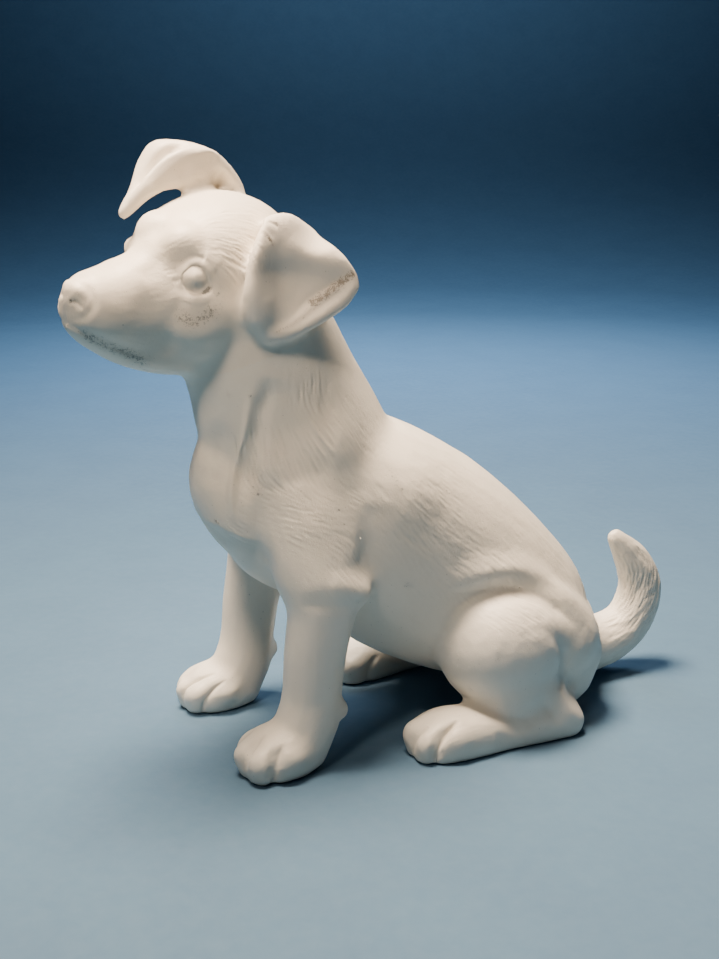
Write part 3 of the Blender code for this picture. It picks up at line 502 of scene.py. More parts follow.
# Lines: half width, height and the line
HANGING_EAR_LINES = (
    (2.3, -0.08, ((-9.6, 15, 7.6), (-10.6, 15.5, 5.4), (-11.9, 15.9, 2.6), (-13, 16.4, -0.4))),
    (2.4, -0.10, ((-16.2, 18.4, 1.6), (-14.8, 17.9, -1.2), (-13, 17.9, -3.4))),
    (2.2, 0.22, ((-13, 15.4, 8.8), (-14.8, 16.9, 6.6), (-18.3, 19, 5), (-21.6, 21.3, 4.8))),
    (2, 0.22, ((-7.4, 16.4, -0.6), (-8.2, 17, -3.6), (-9.4, 17.7, -5.6))),
    (0.7, 0.26, ((-9.4, 18.2, -7), (-11.4, 18.9, -6.6), (-13.2, 19.3, -5.4), (-14.9, 19.8, -4),
                 (-16.7, 20.2, -2.4), (-18.4, 21, -0.4), (-20.4, 21.7, 1.2), (-22.6, 22.6, 2.9))),
    (0.6, -0.20, ((-13.8, 18.8, -4), (-15.4, 19.2, -2.2), (-17, 19.8, -0.6), (-18.6, 20.4, 0.9),
                   (-20.2, 21, 2.4), (-21.8, 21.8, 3.8))),
    # short cuts near the root
    (0.3, -0.22, ((-8.1, 13.6, 9.9), (-8.8, 14.3, 9.2), (-9.4, 14.9, 8.4))),
    (0.3, -0.22, ((-8.9, 13.4, 10.6), (-9.6, 14.2, 9.8), (-10.2, 14.9, 8.9))),
    (0.3, -0.20, ((-10, 13, 11.5), (-10.8, 13.6, 11.1), (-11.6, 14.2, 10.6))),
)
RAISED_EAR_LINES = (
    (1.7, -0.55, ((-1.2, -8, 10.8), (-3.4, -7.4, 13.2), (-6, -7, 14.6), (-8.6, -6.4, 14))),
    (1.15, -1.5, ((2.4, -10.8, 9.2), (0.4, -11.2, 11.9), (-1.2, -11.3, 13.6), (-2.9, -11.3, 15.2),
                  (-4.7, -11, 16.6), (-6.8, -10.5, 17.8), (-9.2, -9.6, 18.6))),
    (0.8, 0.50, ((3, -9.1, 8.4), (0.4, -9.4, 11.7), (-1.1, -9.4, 13.3), (-2.7, -9.5, 14.9),
                 (-4.3, -9.3, 16.2), (-6, -9, 17.2), (-7.9, -8.5, 18), (-9.8, -8, 18.5))),
)


def carve_ears(carving):
    for place, radius, way in EAR_NUDGES:
        carving.push(on_head(place), radius, 1, head_way(*way))
    carving.write()
    soft = spheres(EAR_SOFT, [on_head])
    carving.soften(soft, EAR_ROUNDS[0])
    place, radius, height = EAR_FULLNESS
    carving.push(on_head(place), radius, height)
    stroke_all(carving, HANGING_EAR_LINES + RAISED_EAR_LINES, [on_head])
    carving.write()
    carving.soften(soft, EAR_ROUNDS[1])
    carving.write()


# The body's left side: half width, height and the line; the right side mirrors them

BODY_LINES = (
    # fold from the throat to the breast, with the hollow behind it
    (0.75, 0.75, ((12, -2, 73), (11.3, -2.9, 68.3), (10.7, -3.1, 65.3), (9.7, -3.5, 62.2),
                  (8.7, -4.2, 58.8), (8.8, -5, 56.2), (9.5, -5.7, 53.5), (10.2, -6, 50.9),
                  (10.6, -5.6, 47.4))),
    (1.6, -0.90, ((13, 1, 74.5), (12.8, 0, 71), (12.4, -1, 67.5), (11.7, -1.3, 64.8),
                  (11.1, -1.9, 61), (10.5, -2.7, 57.6), (11.2, -3.3, 54.4), (11.9, -3.6, 51))),
    (3.4, -0.35, ((13.4, 3, 74), (13.2, 2.4, 70.5), (13, 1.6, 67), (12.8, 2.2, 61.5),
                  (13.2, 1.6, 57.5))),
    (2.2, -0.55, ((7.8, -6.8, 66.4), (5.6, -7.2, 61.2), (6.1, -8, 56.7), (6.7, -8.6, 53.1))),
    # rim of the breast over its underside
    (1, 0.28, ((0.6, -9.3, 46.4), (6.3, -8.2, 46.5), (9.1, -6.6, 45.7), (10.5, -4.5, 44.7),
                 (12.6, -2, 43.4))),
    (2.4, -0.45, ((1, -8.6, 43.4), (6.5, -7.2, 43.2), (9.6, -5.2, 42), (12.4, -2, 40.6),
                  (16.6, 0.8, 39.6))),
    # rear edge of the upper arm, with the hollow behind it
    (1.6, 0.15, ((17.6, 16.4, 51), (18.4, 15.2, 47.6), (19, 14.2, 43.8), (20.2, 13.2, 40))),
    (2.2, -0.24, ((17, 20, 51), (17.7, 18.8, 47.6), (18, 18, 43.6), (18.4, 17.6, 39.2),
                  (18.6, 17.4, 35.5))),
    # roll of skin over the elbow, and the crease under it
    (2, 0.30, ((21.6, 8.2, 37), (22.3, 10.4, 36.4), (21.9, 13, 36), (20.6, 15.4, 36))),
    (0.8, -0.14, ((19.8, 3.4, 33.4), (21.3, 5.2, 33.5), (22.6, 9.4, 33), (22, 13.2, 32.3),
                  (20.4, 15.8, 32.2))),
    # thigh crease, the fold of the flank above it and the second small crease
    (0.9, -0.26, ((17.2, 33.8, 20.6), (18.3, 34.5, 25), (19, 36, 27.7), (19.2, 38.9, 29.5),
                  (19.1, 42.7, 30.5), (19.2, 46.7, 30.4), (19.8, 50.2, 29.4), (20.4, 54, 27.6),
                  (21.3, 57.1, 25.3), (22.4, 60, 22.8), (23, 62.4, 20.2))),
    (3.2, 0.50, ((19.8, 33.3, 32.4), (20.4, 39.3, 33.6), (20.2, 44.9, 33.6), (19.7, 49.7, 32.4),
                 (19.5, 53.3, 30.4), (20.5, 57, 27.5), (22, 60.5, 23.5), (22.6, 62.5, 20.5))),
    (1.6, 0.16, ((18.6, 36.4, 31), (19.8, 39.6, 32.8), (19.9, 44.2, 34.2), (19.6, 49.6, 33.8),
                 (19, 54.8, 31.6), (19.4, 59.2, 28.4), (20, 62.8, 24.6))),
    (0.45, -0.22, ((19.3, 55.4, 30.4), (19.9, 58.4, 28), (20.6, 61.6, 24.8))),
    # between the thigh and the foot
    (0.9, -0.50, ((19.6, 35.6, 11), (21.3, 37.9, 8.4), (24.3, 40.1, 7.7), (26.6, 43.2, 6.9),
                  (27.7, 47.1, 6.2), (27.9, 50.9, 5.8))),
    # folds of the hock
    (0.6, -0.45, ((26.6, 51.4, 8.6), (27.4, 52.6, 7.2), (28, 54, 5.6), (28.2, 54.9, 3.8))),
    (0.5, -0.32, ((27.7, 47.6, 5.9), (28.2, 48.6, 4.4), (28.4, 49.6, 3))),
    (0.9, 0.25, ((25.8, 56, 11), (27, 56.4, 8.8), (27.8, 57.6, 6.4), (28, 58.2, 4))),
    # waist of the foot
    (2.2, -0.35, ((28.6, 40, 3.2), (28.9, 44, 2.8), (29, 48, 2.4))),
    # sinews of the foreleg
    (0.8, 0.22, ((21.4, 12, 31), (20.8, 12.4, 25), (20, 12.6, 19), (19.2, 12.6, 13.6))),
    (0.9, -0.22, ((21.9, 9.6, 30.5), (21.5, 10, 24.5), (20.9, 10.4, 18))),
)
# Swellings of the body's left side: place, radius and height
BODY_SWELLINGS = (
    ((18.9, 12, 8.2), 1.2, -0.4),
    ((22, 44, 26), 8, 0.35),
    ((17.6, 6, 50), 7.5, 0.45),
)
# Places of the body's left side that are smoothed first: place and radius
BODY_SOFT = (((13, 20, 64), 11), ((19.5, 45, 30.5), 6), ((20.5, 54, 28), 5),
             ((19, 37, 28), 5), ((13, 14, 68), 9), ((21.5, 9, 32.6), 6),
             ((20.2, 42, 34), 7), ((19.6, 51, 32.4), 6.5), ((22.8, 59.4, 22.2), 5.5),
             ((28, 57, 5.3), 5))
BODY_SOFT_ROUNDS = 60
# Places smoothed after the lines are drawn: place and radius
FOOT_SOFT = (((27.5, 47, 5), 8), ((27.5, 55.5, 6), 6.5), ((22, 10, 33), 5))
FOOT_SOFT_ROUNDS = 10
ELBOW_SOFT = (((18.6, 17, 35.6), 5),)
ELBOW_SOFT_ROUNDS = 45
# Parts that are moved: place, radius and the way; first the tail's tip and the front of the neck
BODY_NUDGES = (((0, 86.5, 31), 12, (0, -1.4, 0.5)), ((2, -6.5, 63), 9, (0, -1.1, 0)))
HEEL_NUDGES = (((26, 61, 7.6), 5, (0, -0.9, -0.5)),)

# Grooves between the toes, and the toes' swellings, for each foot
LEFT_PAW_GROOVES = (
    ((22.3, -1, 7.6), (23.3, -2.4, 5.9), (23.8, -3.2, 3.8), (23.7, -3.4, 2.2), (23.2, -3.4, 0.3)),
    ((18.5, -3.2, 8.3), (19.2, -5.6, 6.6), (19.9, -7.4, 4.6), (19.9, -8.2, 2.6), (19.4, -8, 0.3)),
    ((14.2, -3.6, 7.9), (13.9, -6, 6), (13.6, -7.2, 4), (13.5, -7.6, 2.2), (13.6, -7.4, 0.3)),
)
LEFT_PAW_TOES = ((24, 0.6, 4.6), (22, -5.4, 4.4), (16.8, -8.2, 4.4), (11.9, -4.6, 4.4))
RIGHT_PAW_GROOVES = (
    ((-11.4, -1.6, 7.2), (-11, -4.4, 5.8), (-10.9, -6.2, 3.9), (-11.2, -6.8, 2.2), (-11.6, -6.8, 0.3)),
    ((-13.2, -3.2, 8.3), (-14.3, -6.8, 7.1), (-15.2, -9.2, 5.4), (-15.4, -10.3, 3.2), (-15.3, -10.2, 0.3)),
    ((-19.2, -3.6, 7.9), (-19.7, -6.8, 6.2), (-20, -8.4, 4), (-19.9, -8.8, 2.2), (-19.6, -8.6, 0.3)),
)
RIGHT_PAW_TOES = ((-10, -1.6, 4.4), (-12.9, -8, 4.6), (-17.6, -10.2, 4.4), (-22.6, -5, 4.4))
HIND_FOOT_GROOVES = (
    ((26.3, 33.4, 8), (26.9, 31.4, 7), (27.6, 29.2, 5.2), (27.9, 28, 3.2), (27.8, 27.6, 0.3)),
    ((24.6, 27.6, 7), (24.4, 25.8, 5.6), (23.6, 24.8, 3.6), (23.2, 24.5, 0.3)),
    ((16.9, 34.6, 6.6), (16.3, 32.6, 4.9), (16.1, 31.6, 3), (16.3, 31.3, 0.3)),
)
HIND_FOOT_TOES = ((27.8, 32.6, 4.4), (26.6, 27, 4), (20, 25.8, 4.2))
TOE_RADIUS = 3.2
TOE_HEIGHT = 0.55
# Each groove is cut twice, wide and then narrow: half width, height and the shares faded at its ends
TOE_CUTS = ((1.2, -0.42, (0.4, 0)), (0.42, -0.75, (0.25, 0)))


def carve_body(carving):
    carving.soften(spheres(BODY_SOFT, LEG_SIDES), BODY_SOFT_ROUNDS)
    for nudges, sides in ((BODY_NUDGES, [on_body]), (HEEL_NUDGES, LEG_SIDES)):
        for place, radius, way in nudges:
            for side in sides:
                carving.push(side(place), radius, 1, np.array(way))
    carving.write()
    stroke_all(carving, BODY_LINES, LEG_SIDES)
    for place, radius, height in BODY_SWELLINGS:
        for side in LEG_SIDES:
            carving.push(side(place), radius, height)
    carving.write()
    carving.soften(spheres(FOOT_SOFT, LEG_SIDES), FOOT_SOFT_ROUNDS)
    carving.soften(spheres(ELBOW_SOFT, LEG_SIDES), ELBOW_SOFT_ROUNDS)
    carving.write()


def hold_inside(carving):
    """Squeezes the outermost skin, where it stands over the solids, back to their size."""
    for axis in range(3):
        for sign, corner in ((-1, cad_box[0]), (1, cad_box[1])):
            limit = sign * corner[axis] / MM - SIZE_MARGIN
            reach = sign * carving.points[:, axis]
            over = reach.max() - limit
            if over > 0:
                start = limit - SQUEEZE_BAND
                beyond = np.maximum(reach - start, 0)
                kept = beyond * SQUEEZE_BAND / (SQUEEZE_BAND + over)
                carving.points[:, axis] += sign * (kept - beyond)
    carving.write()


def carve_toes(carving):
    feet = ((LEFT_PAW_GROOVES, LEFT_PAW_TOES, on_body), (RIGHT_PAW_GROOVES, RIGHT_PAW_TOES, on_body),
            (HIND_FOOT_GROOVES, HIND_FOOT_TOES, on_body), (HIND_FOOT_GROOVES, HIND_FOOT_TOES, on_leg_right))
    for grooves, toes, side in feet:
        for place in toes:
            carving.push(side(place), TOE_RADIUS, TOE_HEIGHT)
        for line in grooves:
            for half_width, height, fade in TOE_CUTS:
                carving.stroke([side(place) for place in line], half_width, height, fade)
    carving.write()


# Hair

# Combing on the body: place, then the way the hair lies, on the dog's left side
BODY_COMB = (
    ((12, 6, 75), (0.1, -0.1, -1)),
    ((0, 20, 75), (0, 0.45, -0.9)),
    ((0, -10, 75), (0.1, 0, -1)),
    ((12, -2, 62), (0.2, 0.05, -1)),
    ((8, -6, 58), (0, 0, -1)),
    ((15, 5, 58), (0.2, 0.25, -1)),
    ((15.5, 9, 60), (0.2, 0.5, -0.85)),
    ((2, -9, 54), (0.1, 0.1, -1)),
    ((14, 20, 62), (0.1, 0.55, -0.8)),
    ((13, 0, 51), (0.3, 0.9, -0.2)),
    ((17, 4, 49), (0.2, 0.95, -0.22)),
    ((18.5, 10, 48), (0, 0.9, -0.4)),
    ((18, 4, 43), (0.2, 0.9, -0.35)),
    ((19, 12, 42), (0, 0.6, -0.8)),
    ((21, 8, 37), (0.1, 0.5, -0.85)),
    ((8, -6, 46), (0.5, 0.7, -0.5)),
    ((19, 24, 45), (0, 0.62, -0.78)),
    ((0, 30, 62), (0, 0.8, -0.6)),
    ((0, 45, 50), (0, 0.86, -0.5)),
    ((20, 40, 38), (0, 0.75, -0.65)),
    ((19, 30, 30), (0, 0.7, -0.7)),
    ((10, 30, 18), (0, 0.9, -0.2)),
    ((20, 44, 33), (0.1, 0.5, -0.85)),
    ((27, 45, 22), (0.1, 0.75, -0.6)),
    ((12, 68, 26), (0.1, 0.6, -0.8)),
    ((18, 8, 24), (0, 0, -1)),
    ((18, -5, 6), (0, -0.9, -0.4)),
    ((27, 40, 5), (0, -1, -0.1)),
    ((25, 60, 6), (0.1, -0.3, -0.9)),
    ((0, 82, 8), (0, 1, 0.2)),
    ((4, 92, 12), (0, 0.7, 0.7)),
    ((0, 94, 17), (0, 0.25, 1)),
    ((0, 88, 30), (0, -0.5, 0.85)),
)
# Combing on the head, in its own frame
HEAD_COMB = (
    ((12, 0, 1), (-1, 0, 0.3)),
    ((12, 6, -7), (-1, 0.1, -0.15)),
    ((5, 6, 2), (-0.9, 0.2, 0.4)),
    ((0, 3, 10), (-0.9, 0.1, 0.5)),
    ((-10, 3, 13), (-1, 0.1, 0)),
    ((-4.5, 9, 7.5), (-0.85, 0.3, -0.2)),
    ((-5.5, 12, 4.5), (-0.7, 0.3, -0.6)),
    ((-3, 12, -5), (-0.85, 0.1, -0.45)),
    ((-8, 12, -10), (-0.7, 0.1, -0.7)),
    ((5, 7, -14), (-1, 0, -0.1)),
    ((-20, 4, 4), (-0.5, 0, -0.85)),
)
EAR_COMB = (
    ((-17, 12, 11), (0.1, 0.3, -0.95)),
    ((-10, 15, 2), (0.2, 0.1, -1)),
    ((-22, 20, 3), (-0.4, 0.4, -0.5)),
    ((-17, -8, 11), (0, 0, 1)),
    ((-9, -11, 17), (0.9, -0.1, 0.2)),
    ((0, -10, 9), (0.6, 0, -0.8)),
)


def comb_guides():
    places, ways = [], []
    for place, way in BODY_COMB:
        for side in (1, -1):
            places.append(on_body((place[0] * side, place[1], place[2])))
            ways.append((way[0] * side, way[1], way[2]))
    for place, way in HEAD_COMB:
        for side in (1, -1):
            places.append(on_head((place[0], place[1] * side, place[2])))
            ways.append(head_way(way[0], way[1] * side, way[2]))
    for place, way in EAR_COMB:
        places.append(on_head(place))
        ways.append(head_way(*way))
    return np.array(places), np.array(ways)


# Softening radius of a guide, in square millimetres
GUIDE_SPREAD = 9.0
NOISE_TABLE_SIZE = 48
GRAIN_STEPS = 11
# Share of its weight that the grain's noise loses towards the ends of a wave
GRAIN_FADE = 0.6


def combed(points, normals):
    """The way the hair lies at each point, along the skin."""
    places, ways = comb_guides()
    way = np.zeros_like(points)
    total = np.zeros(len(points))
    for place, lie in zip(places, ways):
        weight = 1 / (((points - place) ** 2).sum(1) + GUIDE_SPREAD) ** 2
        way += weight[:, None] * lie
        total += weight
    way /= total[:, None]
    way -= (way * normals).sum(1)[:, None] * normals
    return way / np.maximum(np.linalg.norm(way, axis=1), 1e-6)[:, None]


def lattice_noise(points, table):
    """Smooth noise read from a repeating table of random numbers."""
    cell = np.floor(points).astype(int)
    part = points - cell
    part = part * part * (3 - 2 * part)
    size = table.shape[0]
    value = np.zeros(len(points))
    for corner in range(8):
        step = np.array([corner & 1, corner >> 1 & 1, corner >> 2 & 1])
        index = (cell + step) % size
        share = np.prod(np.where(step == 1, part, 1 - part), axis=1)
        value += share * table[index[:, 0], index[:, 1], index[:, 2]]
    return value


def hair_grain(points, way, width, length, seed):
    """Noise drawn out along the lie of the hair."""
    table = np.random.default_rng(seed).standard_normal((NOISE_TABLE_SIZE,) * 3)
    value = np.zeros(len(points))
    for share in np.linspace(-1, 1, GRAIN_STEPS):
        spots = (points + way * share * length / 2) / width
        value += (1 - GRAIN_FADE * abs(share)) * lattice_noise(spots, table)
    return value / value.std()


# Depth of the hair cuts: place, radius and depth in millimetres
BODY_HAIR = (
    ((13, 1, 59), 8, 0.11),
    ((15.5, 8, 61), 8, 0.08),
    ((12, 8, 70), 10, 0.07),
    ((17, 6, 49), 10, 0.048),
    ((8, -6, 47), 7, 0.06),
    ((19, 12, 40), 9, 0.048),
    ((14, 18, 56), 12, 0.055),
    ((18, 28, 44), 13, 0.052),
    ((19, 36, 36), 11, 0.050),
    ((8, 34, 54), 18, 0.045),
    ((12, 58, 34), 16, 0.05),
    ((20, 44, 33), 7, 0.07),
    ((24, 47, 26), 9, 0.05),
    ((3, 92, 18), 16, 0.09),
)
HEAD_HAIR = (
    ((-5.5, 11, 5), 5.5, 0.085),
    ((-6, 10, -9), 9, 0.030),
    ((-9, 0, 12), 12, 0.045),
    ((2, 4, 7), 6, 0.035),
    ((10, 6, -9), 7, 0.018),
    ((-14, -8, 13), 6, 0.09),
)
# Eyes and nose stay smooth, in the head's frame: place, clear radius and width over which the hair comes back
SMOOTH_PLACES = (((1.6, 9.6, 0.6), 3, 3), ((1.6, -9.6, 0.6), 3, 3), ((20, 0, -5), 4.5, 4))
LEAST_DEPTH = 0.015
DEPTH_FALL = 1.2
# Soles stay smooth: bare height, and height over which the hair comes back
BARE_SOLE = 1.0
SOLE_EDGE = 3.0


def hair_depth(points):
    """How deep the hair is cut at each point."""
    depth = np.full(len(points), LEAST_DEPTH)
    for spots, sides in ((BODY_HAIR, BODY_SIDES), (HEAD_HAIR, HEAD_SIDES)):
        for place, radius, most in spots:
            for side in sides:
                gap = np.linalg.norm(points - side(place), axis=1)
                depth = np.maximum(depth, most * np.exp(-(gap / radius) ** 2 * DEPTH_FALL))
    for place, clear, width in SMOOTH_PLACES:
        gap = np.linalg.norm(points - on_head(place), axis=1)
        depth *= np.clip((gap - clear) / width, 0, 1)
    return depth * np.clip((points[:, 2] - BARE_SOLE) / SOLE_EDGE, 0, 1)


# Step along a hair in millimetres; its reach in half widths, and the power of its taper
TRACE_STEP = 0.5
HAIR_REACH = 2.0
TAPER_POWER = 0.7


class Comb:
    """Cuts single hairs that follow the lie of the hair over the skin."""

    def __init__(self, carving, way):
        self.points = carving.points
        self.normals = carving.normals
        self.way = way
        self.cut = np.zeros(len(self.points))
        self.tree = KDTree(len(self.points))
        for i, point in enumerate(self.points):
            self.tree.insert(point, i)
        self.tree.balance()

    def trace(self, start, length):
        """Points along the skin from a start; a negative length goes against the hair."""
        spot = np.array(start, float)
        path = []
        for _ in range(max(2, int(abs(length) / TRACE_STEP))):
            _, index, _ = self.tree.find(spot)
            spot = spot - ((spot - self.points[index]) @ self.normals[index]) * self.normals[index]
            path.append(spot)
            spot = spot + math.copysign(TRACE_STEP, length) * self.way[index]
        return path

    def hair(self, path, half_width, depth):
        """One tapered cut along a path."""
        worst = {}
        for place, spot in enumerate(path):
            taper = math.sin(math.pi * (place + 0.6) / (len(path) + 0.2)) ** TAPER_POWER
            for _, index, gap in self.tree.find_range(spot, HAIR_REACH * half_width):
                share = taper * math.exp(-(gap / half_width) ** 2)
                if share > worst.get(index, 0):
                    worst[index] = share
        for index, share in worst.items():
            self.cut[index] += share * depth

    def finish(self, carving, deepest):
        """Takes the cuts off the skin; crossing cuts never go deeper than the deepest."""
        self.cut = deepest * np.tanh(self.cut / deepest)
        carving.points = self.points - self.cut[:, None] * self.normals
        carving.write()


# Lower border of the collar hair, where the neck's long hairs end over the shoulder
COLLAR_BORDER = ((10.4, -4.2, 53.6), (11.6, -2.8, 53.4), (13.2, -0.2, 53.6), (14.6, 2.8, 54.1),
                 (15.9, 5.4, 55), (16.4, 7.4, 55), (16.6, 8.9, 56.2), (16.6, 10.4, 58),
                 (16.2, 11.7, 60.6), (15.6, 12.8, 63.2), (13.6, 14.2, 67))
# Rows of the collar: rise over the border, length, half width and depth of the cuts
COLLAR_ROWS = ((0.0, 7.5, 0.38, 0.40), (2.8, 6.5, 0.34, 0.28), (5.6, 6.0, 0.30, 0.22), (8.4, 6.0, 0.28, 0.14))
COLLAR_SPACING = 1.2
COLLAR_STEPS = 10
# What the collar's random draws vary: place and rise in millimetres, length and depth as shares
COLLAR_SCATTER = 0.2
COLLAR_RISE = (-0.8, 0.8)
COLLAR_LENGTH = (0.75, 1.15)
COLLAR_DEPTH = (0.6, 1.1)
TAIL_ROOT = (0.0, 78.0, 8.0)
# Number of cuts, with the ranges of their length, half width and depth; the body's depth is a share
BODY_CUTS = 9000
BODY_CUT_SIZES = ((1.7, 3.6), (0.16, 0.24), (0.6, 1.5))
TAIL_CUTS = 190
TAIL_CUT_SIZES = ((4.0, 7.5), (0.35, 0.5), (0.06, 0.15))
# Hair grain: width and length of a wave, and its height as a share of the hair's depth
GRAIN_WIDTH = 0.36
GRAIN_LENGTH = 3.0
GRAIN_SHARE = 0.36
GRAIN_LIMITS = (-2.0, 1.5)
GRAIN_SEED = 12
CUT_SEED = 21
DEEPEST_CUT = 0.42


def cut_collar(comb, rng):
    """Rows of long cuts that end at the border, each row above the last and between its cuts."""
    border = curve_through(COLLAR_BORDER, COLLAR_STEPS)
    along = np.concatenate([[0], np.cumsum(np.linalg.norm(np.diff(border, axis=0), axis=1))])
    for side in (1, -1):
        for rise, length, half_width, depth in COLLAR_ROWS:
            for place in np.arange(rng.uniform(0, COLLAR_SPACING), along[-1], COLLAR_SPACING):
                place = min(max(place + rng.normal(0, COLLAR_SCATTER), 0), along[-1])
                end = np.array([np.interp(place, along, border[:, k]) for k in range(3)])
                if side == -1:
                    end = np.array(on_right(end))
                start = on_body(end)
                if rise:
                    start = comb.trace(start, -(rise + rng.uniform(*COLLAR_RISE)))[-1]
                path = comb.trace(start, -length * rng.uniform(*COLLAR_LENGTH))
                comb.hair(path, half_width, depth * rng.uniform(*COLLAR_DEPTH))


def cut_body(comb, depth, rng):
    """Single hairs all over, deep where the coat is long."""
    share = depth / depth.sum()
    lengths, widths, depths = BODY_CUT_SIZES
    for index in rng.choice(len(depth), BODY_CUTS, p=share):
        path = comb.trace(comb.points[index], rng.uniform(*lengths))
        comb.hair(path, rng.uniform(*widths), depth[index] * rng.uniform(*depths))


def cut_tail(comb, rng):
    """Coarse locks of the tail."""
    root = on_body(TAIL_ROOT)
    tail = np.where(comb.points[:, 1] > root[1])[0]
    lengths, widths, depths = TAIL_CUT_SIZES
    for index in rng.choice(tail, TAIL_CUTS):
        path = comb.trace(comb.points[index], rng.uniform(*lengths))
        comb.hair(path, rng.uniform(*widths), rng.uniform(*depths))


def comb_hair(carving):
    """Cuts the coat into the skin."""
    way = combed(carving.points, carving.normals)
    depth = hair_depth(carving.points)
    grain = hair_grain(carving.points, way, GRAIN_WIDTH, GRAIN_LENGTH, GRAIN_SEED)
    carving.points += (GRAIN_SHARE * depth * np.clip(grain, *GRAIN_LIMITS))[:, None] * carving.normals
    carving.write()
    comb = Comb(carving, way)
    rng = np.random.default_rng(CUT_SEED)
    cut_body(comb, depth, rng)
    cut_tail(comb, rng)
    cut_collar(comb, rng)
    comb.finish(carving, DEEPEST_CUT)


# Grime and painted shade

# Darkened lines of the head, in its own frame: radius, strength and the line; all grime but the band under
# the left eye, which is painted shade
HEAD_SOIL_AND_SHADE = (
    # painted shade: a dark band in the hollow under the left eye
    (1.5, 0.62, ((3.9, 10.2, -6), (2.4, 11.2, -6.4), (0.8, 12.2, -5.4), (-0.8, 12.6, -4))),
    (0.5, 1.4, ((0.1, 10.8, -1.5), (-0.3, 11, -1.1), (-0.6, 11.1, -0.6))),
    (0.35, 0.85, ((-1.7, 11.9, -1.8), (-2, 12, -1.4))),
    (0.35, 0.85, ((-2.6, 12.2, -2.6), (-2.8, 12.2, -2))),
    (0.35, 0.80, ((-2.2, 12.4, -0.6), (-2.3, 12.3, -0.3))),
    (1.5, 0.64, ((18.6, 3.2, -9.8), (16.6, 4.4, -11.4), (13.8, 5, -12.6), (10.6, 5.4, -13.6),
                 (7.4, 5.4, -15.4))),
    (0.5, 0.6, ((6, 4.6, -17.2), (3.8, 4.8, -17.8), (2, 6, -17.4))),
    (0.5, 0.75, ((20.5, 1.2, -4.8), (20.1, 2.3, -4.6))),
    (1, 0.42, ((-3.6, 9, 7), (-5.6, 10.8, 6), (-6.6, 12, 4.2))),
    (0.3, 0.8, ((-5.9, 14.2, -20.4), (-6, 14.2, -20))),
    (0.3, 0.8, ((-8.3, 17.4, -19.5), (-8.4, 17.4, -19.2))),
    # rolled rim of the hanging ear
    (0.95, 0.92, ((-17, 20.2, -1.6), (-18.6, 20.9, -0.1), (-20.2, 21.5, 1.4), (-21.8, 22.1, 2.9),
                  (-23.4, 22.7, 4.2))),
    (0.6, 0.72, ((-10.6, 18.8, -6.8), (-12.8, 19.4, -5.8), (-14.6, 19.8, -4.4), (-16.4, 20.2, -2.6))),
    (0.5, 0.75, ((-8.4, 14.2, 9.8), (-9.2, 14.7, 9), (-9.8, 15, 8))),
    (0.5, 0.72, ((-10.6, 13.4, 11.4), (-11.6, 13.8, 10.9))),
)
# Darkened lines of the body: painted shade in its folds and creases, and small marks of grime
BODY_SOIL_AND_SHADE = (
    (0.35, 0.85, ((12.3, -2.1, 53.3), (12.5, -1.7, 52.9))),
    (1.6, 0.45, ((11, -3.2, 56.8), (11.2, -3, 54.6), (12.2, -1.8, 53.6))),
    (0.45, 0.85, ((7, -8.3, 47.2), (7.6, -7.9, 47))),
    (0.3, 0.85, ((18.1, 24.3, 52.7), (18.1, 24.5, 52.6))),
    (1.2, 0.42, ((15.8, 22, 57.4), (16.6, 23.4, 55.7), (17.4, 23.6, 54))),
    (0.6, 0.45, ((18.7, 25.6, 33.9), (18.5, 26.4, 33.6))),
    (0.6, 0.5, ((21, 15.4, 33.4), (22, 14, 33.2))),
    (0.4, 0.5, ((19.8, 49, 29.3), (19.8, 50.4, 29.3))),
    (0.6, 0.45, ((27.2, 41, 20.9), (27.2, 41, 19.4))),
    (0.5, 0.35, ((22.8, 37.4, 12.4), (22.8, 37.4, 11.4))),
)
# A darkened line's reach in radii and its curve's steps
SOIL_AND_SHADE_REACH = 2.5
SOIL_AND_SHADE_STEPS = 6
# Rounds of smoothing that hollows are measured under, and the depth of hollow that takes the darkest painted
# shade
HOLLOW_ROUNDS = 16
FULL_HOLLOW = 0.25


def hollowness(carving):
    """How far each point lies under the smoothed skin, in millimetres: plus in hollows, minus on crests."""
    first, second, count = mesh_edges(carving.ob.data)
    smooth = carving.points.copy()
    for _ in range(HOLLOW_ROUNDS):
        smooth = 0.5 * smooth + 0.5 * mean_of_neighbours(smooth, first, second, count)
    return ((smooth - carving.points) * carving.normals).sum(1)


def add_attribute(ob, name, values):
    attribute = ob.data.attributes.new(name, "FLOAT", "POINT")
    attribute.data.foreach_set("value", values.astype(np.float32))


def soil_and_shade(carving):
    """Keeps, for the finish, where the surface is darkened: grime and painted shade along named lines, and
    how deep each point lies in a hollow, for the painted shade in hollows.
    """
    points = carving.points
    darkening = np.zeros(len(points))
    marks = [(radius, strength, [on_head(p) for p in line]) for radius, strength, line in HEAD_SOIL_AND_SHADE]
    marks += [(radius, strength, [on_body(p) for p in line]) for radius, strength, line in BODY_SOIL_AND_SHADE]
    for radius, strength, line in marks:
        path = curve_through(line, SOIL_AND_SHADE_STEPS)
        reach = SOIL_AND_SHADE_REACH * radius
        near = np.where(((points > path.min(0) - reach) & (points < path.max(0) + reach)).all(1))[0]
        gap = ((points[near, None, :] - path[None]) ** 2).sum(2).min(1)
        darkening[near] = np.maximum(darkening[near], strength * np.exp(-gap / radius ** 2))
    # The first attribute holds grime and painted shade along the lines; the second drives the painted shade
    # in hollows.
    add_attribute(carving.ob, "soil_and_shade", darkening)
    add_attribute(carving.ob, "hollow", np.clip(hollowness(carving) / FULL_HOLLOW, -1, 1))


# Dividing the form into its pieces

# Rounds in which borders are evened, and the votes that a face adds for its own casting
BORDER_ROUNDS = 14
OWN_VOTE = 0.5
# Farther, in metres, than any casting is from a point
FAR_AWAY = 1e9


